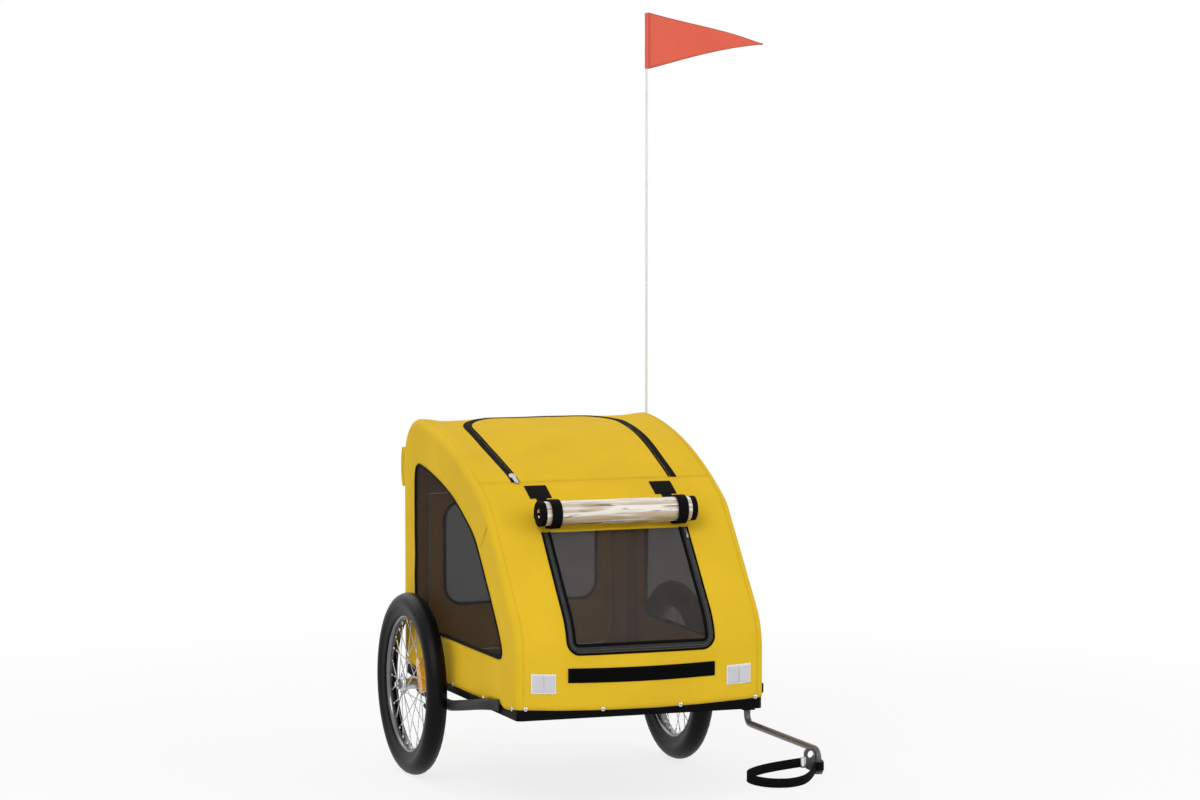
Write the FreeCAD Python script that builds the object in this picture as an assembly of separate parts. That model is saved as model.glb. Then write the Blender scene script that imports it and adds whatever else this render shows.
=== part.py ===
import FreeCAD, Part
import math
import os

# Dog bike trailer. Millimetres; the origin is on the ground, midway between the tyres, under the axle.
# +Z is up, -Y is the way it travels, the right side is at -X and the tow arm is on the left, at +X.

# Cabin and floor frame
body_width = 550.0
body_length = 770.0
axle_overhang = 165.0
rail_underside = 202.0
band_height = 24.0
rail_height = 30.0
rail_width = 25.0
rail_wall = 1.5
cloth = 2.0
mesh_cloth = 1.2

# Side outline of the cabin, from the front hem over the roof to the rear hem; angles are above level
nose_height = 328.0
nose_radius = 143.0
slope_angle = 50.3
slope_length = 254.0
brow_radius = 60.0
brow_angle = 32.0
seam_angle = 27.0
roof_rear_angle = 3.5
tail_radius = 95.0

# Gaps and cutting tools
seat_gap = 0.3
running_gap = 0.05
flap_gap = 0.8
overrun = 5.0

# Flats that stand for the round of thin bars, hoops, hubs, spokes and snaps
bar_sides = 10
hoop_sides = 8
hub_sides = 12
spoke_sides = 4
snap_sides = 6
strap_sides = 24
corner_share = 0.5
round_share = 0.586
bend_share = 0.45

# Hoops, feet and crossbars that carry the cloth
hoop_diameter = 22.0
hoop_wall = 2.2
foot_height = 45.0
foot_depth_gap = 2.0
foot_plate = 4.0
crossbar_diameter = 16.0
crossbar_wall = 1.5
nose_bar_height = 300.0
tail_bar_angle = -20.0
floor_bar_height = 20.0
floor_bar_width = 20.0
floor_board_thickness = 6.0
floor_bar_shares = (0.2, 0.5, 0.9)

# Side windows
window_margin = 98.0
window_rear_margin = 80.0
window_sill = 318.0
window_corner = 30.0

# Front window, its zip and the strip and reflectors under it
front_window_margin = 110.0
front_window_sill = 335.0
front_window_head = 574.0
front_window_corner = 28.0
zip_tape = 9.0
zip_teeth = 3.0
tape_height = 1.2
hook_strip_gap = 27.0
hook_strip_height = 29.5
hook_strip_middle = 298.0
hook_strip_thickness = 2.0
reflector_width = 54.0
reflector_height = 41.0
reflector_margin = 31.0
reflector_middle = 281.0
reflector_thickness = 3.0

# Roof hatch
hatch_margin = 101.0
hatch_rear_margin = 95.0
hatch_corner = 80.0
hatch_tape = 14.0

# Rear door and the rolled cover above it
door_margin = 60.0
door_sill = 245.0
door_head = 600.0
door_corner = 30.0
door_window_border = 35.0
door_window_rise = 105.0
door_window_drop = 20.0
door_window_corner = 40.0
rear_roll_height = 90.0
rear_roll_depth = 28.0
rear_roll_rise = 17.0
rear_roll_margin = 2.0

# Rolled rain cover above the front window
roll_diameter = 57.0
roll_overhang = 10.0
roll_pitch = 6.0
roll_turns = 3
roll_sheet = 2.0
roll_foot = 592.0
strap_width = 23.0
strap_thickness = 2.4
strap_inset = 33.5
patch_width = 49.0
patch_thickness = 1.6
patch_bottom = 638.0
patch_top = 661.0

# Snaps along the hem
snap_diameter = 10.0
snap_height = 2.5
snap_rise = 2.0
front_snap_shares = (-0.465, -0.157, 0.157, 0.465)
side_snap_shares = (0.04, 0.28, 0.55, 0.8, 0.96)

# Wheel bows: bent tubes under the side rails that carry the axle tube
bow_diameter = 25.0
bow_wall = 1.5
bow_bend = 250.0
bow_mouth_depth = 40.0
bow_front_setback = 112.0
bow_front_height = 225.0
bow_drop_setback = 330.0
bow_drop_height = 183.0
bow_waist_setback = 400.0
bow_rear_margin = 22.0
bow_rear_run = 70.0
bracket_thickness = 2.5
bracket_length = 55.0
bracket_height = 21.0

# Wheels
wheel_diameter = 400.0
wheel_clearance = 12.0
tyre_width = 46.0
tyre_seat_diameter = 316.0
tyre_width_shares = (0.54, 1.0, 0.48)
tyre_height_shares = (0.0, 0.5, 1.0)
rim_width = 27.0
rim_depth = 15.0
hub_width = 49.4
hub_end_diameter = 32.0
hub_waist_diameter = 24.0
hub_bore = 16.0
flange_diameter = 46.0
flange_thickness = 3.0
flange_inset = 3.2
spoke_diameter = 2.0
spoke_pairs = 7
spoke_circle = 39.0
spoke_gap = 0.6
spoke_crosses = 2
bearing_diameter = 26.0
bearing_width = 8.0
wheel_reflector_length = 75.0
wheel_reflector_width = 26.0
wheel_reflector_radius = 75.0
wheel_reflector_angle = 158.0
wheel_reflector_corner = 6.0

# Axle tube and the stub axles with their nuts
axle_tube_diameter = 22.0
axle_tube_stand = 6.0
axle_diameter = 12.0
axle_grip = 70.0
axle_collar_diameter = 18.0
axle_nut_diameter = 22.0
axle_nut_width = 8.0
nut_sides = 6
axle_end_stand = 4.0

# Tow arm, coupler and safety strap
arm_diameter = 14.0
arm_reach = 381.0
arm_height = 171.0
arm_bend = 20.0
arm_end_height = 123.0
arm_head_diameter = 19.0
arm_head_height = 3.5
arm_top_gap = 3.0
groove_depth = 2.0
groove_height = 6.4
pin_diameter = 5.0
pin_head_diameter = 8.0
pin_head_length = 8.0
socket_wall = 1.9
socket_flange_width = 25.0
socket_plate_height = 3.0
coupler_boss_diameter = 21.0
coupler_boss_height = 24.0
coupler_plate_width = 25.0
coupler_plate_height = 45.0
coupler_plate_thickness = 10.0
coupler_offset = 17.0
coupler_arm_gap = 2.5
coupler_hole = 16.0
coupler_hole_height = 164.0
webbing_width = 19.0
webbing_thickness = 2.5
clip_wire = 3.0
clip_length = 11.0
clip_height = 22.0

# Points of the safety strap's route: across from the arm, ahead of the arm's end, and height
strap_route = (
    (-41.0, 6.0, 149.0),
    (-86.0, 9.0, 146.0),
    (-138.0, 17.0, 141.0),
    (-174.0, 35.0, 135.0),
    (-166.0, 57.0, 128.0),
    (-128.0, 67.0, 121.0),
    (-76.0, 64.0, 119.0),
    (-34.0, 44.0, 125.0),
    (-8.0, 7.4, 139.0),
)

# Flag
pole_diameter = 6.0
pole_rear_margin = 58.0
pole_bottom = 434.0
pole_top = 1668.0
pocket_wall = 2.0
pocket_depth = 90.0
loop_height = 24.0
loop_middle = 690.0
flag_length = 280.0
flag_height = 124.5
flag_cloth = 1.2
flag_tip_share = 0.56
flag_wave = 8.0
flag_swings = (0, 1, 0, -1, 0)

# Values worked out from the sizes above
front_y = axle_overhang - body_length
rear_y = axle_overhang
half_body = body_width / 2
hem_height = rail_underside + band_height
rail_top = rail_underside + rail_height
rail_half = half_body - cloth - seat_gap
rail_front = front_y + cloth + seat_gap
rail_rear = rear_y - cloth - seat_gap
hoop_inset = cloth + seat_gap + hoop_diameter / 2
hoop_half = half_body - hoop_inset
seam_half = half_body - hoop_inset
corner_cut = (hoop_inset - cloth) * round_share
axle_height = wheel_diameter / 2
wheel_middle = half_body + wheel_clearance + tyre_width / 2
hub_inner = wheel_middle - hub_width / 2
hub_outer = wheel_middle + hub_width / 2
axle_tube_end = half_body + axle_tube_stand
arm_y = rail_front + rail_width / 2
socket_radius = arm_diameter / 2 + running_gap + socket_wall
arm_x = rail_half - rail_width - pin_head_diameter / 2 - seat_gap
arm_end_y = arm_y - arm_reach
pin_height = rail_underside + rail_height / 2
pole_x = half_body + seat_gap + pocket_wall + running_gap + pole_diameter / 2
pole_y = rear_y - pole_rear_margin
middle_y = (front_y + rear_y) / 2
front_window_width = body_width - front_window_margin * 2
hatch_width = body_width - hatch_margin * 2
hatch_end = rear_y - hatch_rear_margin
door_width = body_width - door_margin * 2
roll_length = front_window_width + roll_overhang * 2
strap_x = roll_length / 2 - strap_inset
reflector_near = half_body - reflector_margin - reflector_width


def sine(angle):
    return math.sin(math.radians(angle))


def cosine(angle):
    return math.cos(math.radians(angle))


# Where the pieces of the side outline end, and the roof radius that closes it on the body length
nose_end_y = front_y + nose_radius * (1 - sine(slope_angle))
nose_end_z = nose_height + nose_radius * cosine(slope_angle)
slope_end_y = nose_end_y + slope_length * cosine(slope_angle)
slope_end_z = nose_end_z + slope_length * sine(slope_angle)
brow_end_y = slope_end_y + brow_radius * (sine(slope_angle) - sine(brow_angle))
brow_end_z = slope_end_z + brow_radius * (cosine(brow_angle) - cosine(slope_angle))
roof_end_y = rear_y - tail_radius * (1 + sine(roof_rear_angle))
roof_radius = (roof_end_y - brow_end_y) / (sine(brow_angle) - sine(roof_rear_angle))
seam_y = brow_end_y + roof_radius * (sine(brow_angle) - sine(seam_angle))
seam_z = brow_end_z + roof_radius * (cosine(seam_angle) - cosine(brow_angle))
roof_top = brow_end_z + roof_radius * (1 - cosine(brow_angle))


def vec(x, y, z):
    return FreeCAD.Vector(x, y, z)


ACROSS = vec(1, 0, 0)
REARWARD = vec(0, 1, 0)
UP = vec(0, 0, 1)


def slope_y(height):
    """Where the sloping front lies at a height."""
    return nose_end_y + (height - nose_end_z) * cosine(slope_angle) / sine(slope_angle)


def block(x0, x1, y0, y1, z0, z1):
    return Part.makeBox(x1 - x0, y1 - y0, z1 - z0, vec(x0, y0, z0))


def rod(start, end, radius):
    return Part.makeCylinder(radius, (end - start).Length, start, end - start)


def flats(place, direction, radius, sides):
    """Closed polygon with its corners on a circle."""
    along = vec(direction.x, direction.y, direction.z).normalize()
    guide = UP if abs(along.z) < abs(along.x) + abs(along.y) else ACROSS
    side = along.cross(guide).normalize()
    other = along.cross(side)
    step = 360 / sides
    corners = []
    for corner in range(sides):
        turn = step * (corner + corner_share)
        corners.append(place + side * (radius * cosine(turn)) + other * (radius * sine(turn)))
    return Part.makePolygon(corners + corners[:1])


def bar(start, end, radius, sides=bar_sides):
    """Straight bar whose corners lie on the radius."""
    return Part.Face(flats(start, end - start, radius, sides)).extrude(end - start)


def bore(start, end, radius, sides=bar_sides):
    """Cutting tool that runs past both ends, with its flats outside the radius."""
    reach = (end - start).normalize() * overrun
    return bar(start - reach, end + reach, radius / cosine(180 / sides), sides)


def tube(start, end, radius, inside, sides=bar_sides):
    return bar(start, end, radius, sides).cut(bore(start, end, inside, sides))


def mirrored(shape):
    return shape.mirror(vec(0, 0, 0), ACROSS)


def pair(shape):
    """The shape and its mirror image on the other side, as separate solids."""
    return Part.makeCompound(shape.Solids + mirrored(shape).Solids)


def turned(points):
    """Solid turned about the axle from points given across the trailer and out from the axle."""
    corners = [vec(x, 0, axle_height + radius) for x, radius in points]
    face = Part.Face(Part.makePolygon(corners + corners[:1]))
    return face.revolve(vec(0, 0, axle_height), ACROSS, 360)


def chamfered(shape, direction, size):
    return shape.makeChamfer(size, edges_along(shape, direction, lambda point: True))


def rounded(shape, direction, radius, keep):
    """Fillets the edges along a direction whose middle passes the test keep."""
    return shape.makeFillet(radius, edges_along(shape, direction, keep))


def edges_along(shape, direction, keep):
    edges = []
    for edge in shape.Edges:
        run = edge.Vertexes[-1].Point - edge.Vertexes[0].Point
        along = run.Length > 0 and run.cross(direction).Length < run.Length * running_gap
        if along and keep(edge.CenterOfMass):
            edges.append(edge)
    return edges


class Pen:
    """Draws a chain of straight and round edges in the plane of the trailer's length and height."""

    def __init__(self, y, z, heading):
        self.y = y
        self.z = z
        self.heading = heading
        self.edges = []

    def place(self):
        return vec(0, self.y, self.z)

    def forward(self, length):
        start = self.place()
        self.y += length * cosine(self.heading)
        self.z += length * sine(self.heading)
        self.edges.append(Part.makeLine(start, self.place()))

    def bend(self, radius, turn):
        start = self.place()
        centre = vec(0, self.y + radius * sine(self.heading), self.z - radius * cosine(self.heading))
        middle = self.heading - turn / 2
        self.heading -= turn
        self.y = centre.y - radius * sine(self.heading)
        self.z = centre.z + radius * cosine(self.heading)
        halfway = centre + vec(0, -radius * sine(middle), radius * cosine(middle))
        self.edges.append(Part.Arc(start, halfway, self.place()).toShape())


def cabin_chain(offset, foot):
    """Open chain of the cabin's side outline, moved outwards by an offset, from foot to foot."""
    pen = Pen(front_y - offset, foot, 90)
    pen.forward(nose_height - foot)
    pen.bend(nose_radius + offset, 90 - slope_angle)
    pen.forward(slope_length)
    pen.bend(brow_radius + offset, slope_angle - brow_angle)
    pen.bend(roof_radius + offset, brow_angle - roof_rear_angle)
    pen.bend(tail_radius + offset, 90 + roof_rear_angle)
    pen.forward(pen.z - foot)
    return pen.edges


def cabin_face(offset, foot):
    edges = cabin_chain(offset, foot)
    last = edges[-1].Vertexes[-1].Point
    first = edges[0].Vertexes[0].Point
    return Part.Face(Part.Wire(edges + [Part.makeLine(last, first)]))


def cabin_block(offset, half_width, foot):
    face = cabin_face(offset, foot)
    face.translate(vec(-half_width, 0, 0))
    return face.extrude(vec(half_width * 2, 0, 0))


def layer(inner, outer, half_width):
    """Sheet that follows the cabin from hem to hem between two distances outside its surface."""
    tool = cabin_block(inner, half_width + overrun, hem_height - overrun)
    return cabin_block(outer, half_width, hem_height).cut(tool)


def soft_block(offset, half_width, foot, radius):
    """Cabin block whose two side outlines have their corners taken off, about as far as a radius would."""
    shape = cabin_block(offset, half_width, foot)
    edges = []
    for edge in shape.Edges:
        box = edge.BoundBox
        if box.XLength < running_gap and box.ZMax > foot + running_gap:
            edges.append(edge)
    return shape.makeChamfer(radius * round_share, edges)


def side_window(inset, x0, x1):
    """Prism of the side window's outline, drawn in by inset."""
    face = cabin_face(0, rail_underside).makeOffset2D(-window_margin - inset)
    face.translate(vec(x0, 0, 0))
    prism = face.extrude(vec(x1 - x0, 0, 0))
    limit = block(x0 - overrun, x1 + overrun, front_y, rear_y - window_rear_margin - inset,
                  window_sill + inset, roof_top + overrun)
    return rounded(prism.common(limit), ACROSS, window_corner - inset, lambda point: True)


def upright_window(width, sill, head, corner, y0, y1, all_corners):
    """Prism through a front or rear wall, with its lower or all corners rounded."""
    shape = block(-width / 2, width / 2, y0, y1, sill, head)
    half_way = (sill + head) / 2
    return rounded(shape, REARWARD, corner, lambda point: all_corners or point.z < half_way)


def front_window(width, sill, head, corner):
    return upright_window(width, sill, head, corner, front_y - overrun, middle_y, False)


def roof_window(width, front, rear, corner):
    shape = block(-width / 2, width / 2, front, rear, seam_z - overrun, roof_top + overrun)
    return rounded(shape, UP, corner, lambda point: point.y > middle_y)


def bent_wire(points, largest):
    """Wire of straight runs joined by tangent arcs, with the arcs' radii."""
    edges = []
    radii = []
    last = points[0]
    for before, corner, after in zip(points, points[1:], points[2:]):
        arrive = corner - before
        leave = after - corner
        shorter = min(arrive.Length, leave.Length)
        half_turn = arrive.getAngle(leave) / 2
        radius = min(largest, bend_share * shorter / math.tan(half_turn))
        reach = radius * math.tan(half_turn)
        start = corner - arrive.normalize() * reach
        end = corner + leave.normalize() * reach
        bisector = (leave - arrive).normalize()
        middle = corner + bisector * (radius / math.cos(half_turn) - radius)
        edges.append(Part.makeLine(last, start))
        edges.append(Part.Arc(start, middle, end).toShape())
        radii.append(radius)
        last = end
    edges.append(Part.makeLine(last, points[-1]))
    return Part.Wire(edges), radii


def bent_bar(points, largest, radius):
    wire, radii = bent_wire(points, largest)
    return wire.makePipeShell([flats(points[0], points[1] - points[0], radius, bar_sides)], True, False)


# Floor frame: mitred square-cornered tubes, a board on crossbars, and the axle tube let into the rails
def mitred(ring, corners):
    """The part of the rail ring that stands over four corners of its plan."""
    points = [vec(x, y, rail_underside - overrun) for x, y in corners]
    prism = Part.Face(Part.makePolygon(points + points[:1])).extrude(vec(0, 0, rail_height + overrun * 2))
    return ring.common(prism)


def tow_socket(rail):
    """The front rail with the tow arm's socket welded through it and a hole for the pin."""
    low = vec(arm_x, arm_y, rail_underside)
    high = vec(arm_x, arm_y, rail_top)
    half_plate = socket_flange_width / 2
    plate = block(arm_x - half_plate, arm_x + half_plate, arm_y - half_plate, arm_y + half_plate,
                  rail_underside - socket_plate_height, rail_underside)
    pin_hole = bore(vec(arm_x, arm_y + overrun, pin_height), vec(arm_x, rail_front + rail_width, pin_height),
                    pin_diameter / 2 + running_gap)
    rail = rail.fuse([bar(low, high, socket_radius), plate])
    pivot = rod(low - UP * overrun, high + UP * overrun, arm_diameter / 2 + running_gap)
    return rail.cut(pivot).cut(pin_hole)


def floor_frame(parts):
    inner_half = rail_half - rail_width
    inner_front = rail_front + rail_width
    inner_rear = rail_rear - rail_width
    ring = block(-rail_half, rail_half, rail_front, rail_rear, rail_underside, rail_top)
    ring = chamfered(ring, UP, corner_cut)
    ring = ring.cut(block(-inner_half, inner_half, inner_front, inner_rear,
                          rail_underside - overrun, rail_top + overrun))
    void = block(-rail_half + rail_wall, rail_half - rail_wall, rail_front + rail_wall,
                 rail_rear - rail_wall, rail_underside + rail_wall, rail_top - rail_wall)
    void = chamfered(void, UP, corner_cut)
    void = void.cut(block(-inner_half - rail_wall, inner_half + rail_wall, inner_front - rail_wall,
                          inner_rear + rail_wall, rail_underside, rail_top))
    ring = ring.cut(void)
    front = mitred(ring, ((-rail_half, rail_front), (rail_half, rail_front),
                          (inner_half, inner_front), (-inner_half, inner_front)))
    parts["front_rail"] = tow_socket(front)
    parts["rear_rail"] = mitred(ring, ((-rail_half, rail_rear), (rail_half, rail_rear),
                                       (inner_half, inner_rear), (-inner_half, inner_rear)))
    saddle = bore(vec(0, 0, axle_height), vec(half_body, 0, axle_height), axle_tube_diameter / 2 + seat_gap)
    side = mitred(ring, ((rail_half, rail_front), (rail_half, rail_rear),
                         (inner_half, inner_rear), (inner_half, inner_front)))
    parts["left_side_rail"] = side.cut(saddle)
    parts["right_side_rail"] = mirrored(parts["left_side_rail"])

    board_bottom = rail_top - floor_board_thickness
    beams = []
    for share in floor_bar_shares:
        y = rail_front + (rail_rear - rail_front) * share
        beam = block(-inner_half, inner_half, y, y + floor_bar_width,
                     board_bottom - floor_bar_height, board_bottom)
        hollow = block(-inner_half - overrun, inner_half + overrun, y + rail_wall,
                       y + floor_bar_width - rail_wall, board_bottom - floor_bar_height + rail_wall,
                       board_bottom - rail_wall)
        beams.append(beam.cut(hollow))
    parts["floor_crossbars"] = Part.makeCompound(beams)
    parts["floor_board"] = block(-inner_half + seat_gap, inner_half - seat_gap, inner_front + seat_gap,
                                 inner_rear - seat_gap, board_bottom, rail_top)
    parts["axle_tube"] = tube(vec(-axle_tube_end, 0, axle_height), vec(axle_tube_end, 0, axle_height),
                              axle_tube_diameter / 2, axle_diameter / 2 + running_gap)


# Wheel bows and their bracket plates
def wheel_bows(parts):
    radius = bow_diameter / 2
    front_x = rail_half + bracket_thickness + seat_gap + radius
    waist_x = axle_tube_end - radius
    rear_x = rail_half - rail_width / 2
    waist_z = axle_height - axle_tube_diameter / 2 - seat_gap - radius
    rear_z = rail_underside - bracket_thickness - seat_gap - radius
    end_y = rail_rear - bow_rear_margin
    points = [
        vec(front_x, front_y + bow_front_setback, bow_front_height),
        vec(front_x, front_y + bow_drop_setback, bow_drop_height),
        vec(waist_x, front_y + bow_waist_setback, waist_z),
        vec(waist_x, bow_rear_run, waist_z),
        vec(rear_x, end_y, rear_z),
    ]
    mouth = points[0] + (points[1] - points[0]).normalize() * (bow_mouth_depth - overrun)
    bow = bent_bar(points, bow_bend, radius).cut(bore(points[0], mouth, radius - bow_wall))
    parts["left_wheel_bow"] = bow
    parts["right_wheel_bow"] = mirrored(bow)
    low = (rail_underside + hem_height - bracket_height) / 2
    front_plate = block(rail_half, rail_half + bracket_thickness, points[0].y, points[0].y + bracket_length,
                        low, low + bracket_height)
    rear_plate = block(rear_x - bracket_height / 2, rear_x + bracket_height / 2, end_y - bracket_length,
                       end_y, rail_underside - bracket_thickness, rail_underside)
    parts["bow_brackets"] = pair(Part.makeCompound([front_plate, rear_plate]))


# Hoops under the edges of the cloth, the feet that they stand on, and the bars between them
def hoops(parts):
    foot = rail_top + foot_plate
    edges = cabin_chain(-hoop_inset, foot)
    path = Part.Wire(edges)
    path.translate(vec(hoop_half, 0, 0))
    start = vec(hoop_half, front_y + hoop_inset, foot)

    hoop = path.makePipeShell([flats(start, UP, hoop_diameter / 2, hoop_sides)], True, False)
    spigot_radius = hoop_diameter / 2 - hoop_wall
    spigot_top = foot + foot_height
    for y in (front_y + hoop_inset, rear_y - hoop_inset):
        mouth_top = vec(hoop_half, y, spigot_top - overrun + foot_depth_gap)
        hoop = hoop.cut(bore(vec(hoop_half, y, foot), mouth_top, spigot_radius))
    parts["left_side_hoop"] = hoop
    parts["right_side_hoop"] = mirrored(hoop)

    half_plate = hoop_diameter / 2
    feet = []
    for y in (front_y + hoop_inset, rear_y - hoop_inset):
        plate = block(hoop_half - half_plate, hoop_half + half_plate, y - half_plate, y + half_plate,
                      rail_top, foot)
        spigot = bar(vec(hoop_half, y, rail_top), vec(hoop_half, y, spigot_top), spigot_radius - seat_gap)
        feet.append(chamfered(plate, UP, corner_cut).fuse(spigot))
    parts["hoop_feet"] = pair(Part.makeCompound(feet))

    brow_middle = (slope_angle + brow_angle) / 2
    brow_arm = brow_radius - hoop_inset
    tail_arm = tail_radius - hoop_inset
    tail_y = roof_end_y + tail_radius * sine(roof_rear_angle)
    tail_z = rear_wall_top()
    places = (
        (front_y + hoop_inset, nose_bar_height),
        (slope_end_y + brow_radius * sine(slope_angle) - brow_arm * sine(brow_middle),
         slope_end_z - brow_radius * cosine(slope_angle) + brow_arm * cosine(brow_middle)),
        (tail_y - tail_arm * sine(tail_bar_angle), tail_z + tail_arm * cosine(tail_bar_angle)),
    )
    end = hoop_half - hoop_diameter / 2 * cosine(180 / hoop_sides) - seat_gap
    radius = crossbar_diameter / 2
    bars = [tube(vec(-end, y, z), vec(end, y, z), radius, radius - crossbar_wall) for y, z in places]
    parts["roof_crossbars"] = Part.makeCompound(bars)


def rear_wall_top():
    """Height at which the rear wall starts to turn into the roof."""
    roof_end_z = brow_end_z + roof_radius * (cosine(roof_rear_angle) - cosine(brow_angle))
    return roof_end_z - tail_radius * cosine(roof_rear_angle)


# Cloth of the cabin: side panels with rounded edges, and one strip of panels from hem to hem
def cabin_cloth(parts):
    shell = soft_block(0, half_body, hem_height, hoop_inset)
    shell = shell.cut(soft_block(-cloth, half_body - cloth, hem_height - overrun, hoop_inset - cloth))
    edge = block(seam_half, half_body + overrun, front_y - overrun, rear_y + overrun,
                 hem_height - overrun, roof_top + overrun)
    side = shell.common(edge).cut(side_window(0, seam_half, half_body + overrun))
    parts["left_side_panel"] = side
    parts["right_side_panel"] = mirrored(side)
    mesh_inner = half_body - cloth
    parts["side_meshes"] = pair(side_window(seat_gap, mesh_inner, mesh_inner + mesh_cloth))

    skin = layer(-cloth, 0, seam_half)
    below = block(-half_body, half_body, front_y - overrun, middle_y, 0, seam_z)
    behind = block(-half_body, half_body, middle_y, rear_y + overrun, 0, seam_z)
    above = block(-half_body, half_body, front_y, rear_y + overrun, seam_z, roof_top + overrun)
    hole_width = front_window_width - zip_tape * 2
    hole_sill = front_window_sill + zip_tape
    hole_corner = front_window_corner - zip_tape
    hole = front_window(hole_width, hole_sill, front_window_head, hole_corner)
    parts["front_panel"] = skin.common(below).cut(hole)
    tape = layer(0, tape_height, seam_half)
    frame = front_window(front_window_width, front_window_sill, front_window_head, front_window_corner)
    cutter = front_window(hole_width, hole_sill, front_window_head + overrun, hole_corner)
    parts["front_window_zip"] = tape.common(frame.cut(cutter))

    flap_width = hole_width - flap_gap * 2
    flap_sill = hole_sill + flap_gap
    flap_head = front_window_head - flap_gap
    flap_corner = hole_corner - flap_gap
    flap = front_window(flap_width, flap_sill, flap_head, flap_corner)
    mesh_outer = -cloth + mesh_cloth
    parts["front_mesh"] = layer(-cloth, mesh_outer, seam_half).common(flap)
    edge_width = zip_tape + zip_teeth
    pane = front_window(flap_width - edge_width * 2, flap_sill + edge_width, flap_head - edge_width,
                        flap_corner - zip_tape)
    parts["front_mesh_binding"] = layer(mesh_outer, tape_height, seam_half).common(flap.cut(pane))

    hatch = roof_window(hatch_width, seam_y - overrun, hatch_end, hatch_corner)
    parts["roof_panel"] = skin.common(above).cut(hatch)
    lid = roof_window(hatch_width - flap_gap * 2, seam_y + flap_gap, hatch_end - flap_gap,
                      hatch_corner - flap_gap)
    parts["roof_flap"] = skin.common(above).common(lid)
    border = roof_window(hatch_width + hatch_tape * 2, seam_y, hatch_end + hatch_tape,
                         hatch_corner + hatch_tape)
    parts["roof_zip"] = tape.common(above).common(border.cut(hatch))

    door_hole = upright_window(door_width, door_sill, door_head, door_corner,
                               middle_y, rear_y + overrun, False)
    parts["rear_panel"] = skin.common(behind).cut(door_hole)
    door = upright_window(door_width - flap_gap * 2, door_sill + flap_gap, door_head - flap_gap,
                          door_corner - flap_gap, rear_y - cloth, rear_y, False)
    door_window_width = door_width - door_window_border * 2
    door_window_sill = door_sill + door_window_rise
    door_window_head = door_head - door_window_drop
    door_window = upright_window(door_window_width, door_window_sill, door_window_head, door_window_corner,
                                 rear_y - cloth - overrun, rear_y + overrun, True)
    parts["rear_door"] = door.cut(door_window)
    parts["rear_mesh"] = upright_window(door_window_width - seat_gap * 2, door_window_sill + seat_gap,
                                        door_window_head - seat_gap, door_window_corner - seat_gap,
                                        rear_y - cloth, rear_y - cloth + mesh_cloth, True)


# What is sewn on the cabin: strip, reflectors, snaps and the rolled rear cover
def trim(parts):
    strip_low = hook_strip_middle - hook_strip_height / 2
    strip_half = reflector_near - hook_strip_gap
    strip = block(-strip_half, strip_half, front_y - overrun, middle_y,
                  strip_low, strip_low + hook_strip_height)
    parts["hook_strip"] = layer(0, hook_strip_thickness, seam_half).common(strip)
    low = reflector_middle - reflector_height / 2
    patch = block(reflector_near, reflector_near + reflector_width, front_y - overrun, middle_y,
                  low, low + reflector_height)
    parts["front_reflectors"] = pair(layer(0, reflector_thickness, seam_half).common(patch))

    z = hem_height + snap_rise
    radius = snap_diameter / 2

    def snap(place, direction):
        return bar(place, place + direction * snap_height, radius, snap_sides)

    snaps = []
    for share in front_snap_shares:
        snaps.append(snap(vec(body_width * share, front_y, z), -REARWARD))
        snaps.append(snap(vec(body_width * share, rear_y, z), REARWARD))
    for share in side_snap_shares:
        y = front_y + body_length * share
        snaps.append(snap(vec(half_body, y, z), ACROSS))
        snaps.append(snap(vec(-half_body, y, z), -ACROSS))
    parts["hem_snaps"] = Part.makeCompound(snaps)

    low = door_head + rear_roll_rise
    half_roll = half_body - rear_roll_margin
    roll = block(-half_roll, half_roll, rear_y + seat_gap,
                 rear_y + seat_gap + rear_roll_depth, low, low + rear_roll_height)
    roll_round = rear_roll_depth / 2 - seat_gap
    parts["rear_cover_roll"] = rounded(roll, ACROSS, roll_round, lambda point: True)


# Rain cover rolled up over the front window, held by straps from patches above it
def roll_section(centre):
    """Face of the rolled sheet: half turns about two centres, so the roll winds in evenly."""
    down = vec(0, -cosine(slope_angle), -sine(slope_angle))
    out = vec(0, -sine(slope_angle), cosine(slope_angle))
    largest = roll_diameter / 2
    step = roll_pitch / 2
    outer = []
    inner = []
    for half_turn in range(roll_turns * 2):
        way = 1 if half_turn % 2 == 0 else -1
        middle = centre if way == 1 else centre - down * step
        outer_radius = largest - half_turn * step
        for edges, radius in ((outer, outer_radius), (inner, outer_radius - roll_sheet)):
            start = middle + down * (radius * way)
            top = middle + out * (radius * way)
            end = middle - down * (radius * way)
            edges.append((start, top, end))
    edges = [Part.Arc(*arc).toShape() for arc in outer]
    edges.append(Part.makeLine(outer[-1][2], inner[-1][2]))
    edges += [Part.Arc(end, top, start).toShape() for start, top, end in reversed(inner)]
    edges.append(Part.makeLine(inner[0][0], outer[0][0]))
    return Part.Face(Part.Wire(edges))


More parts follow.
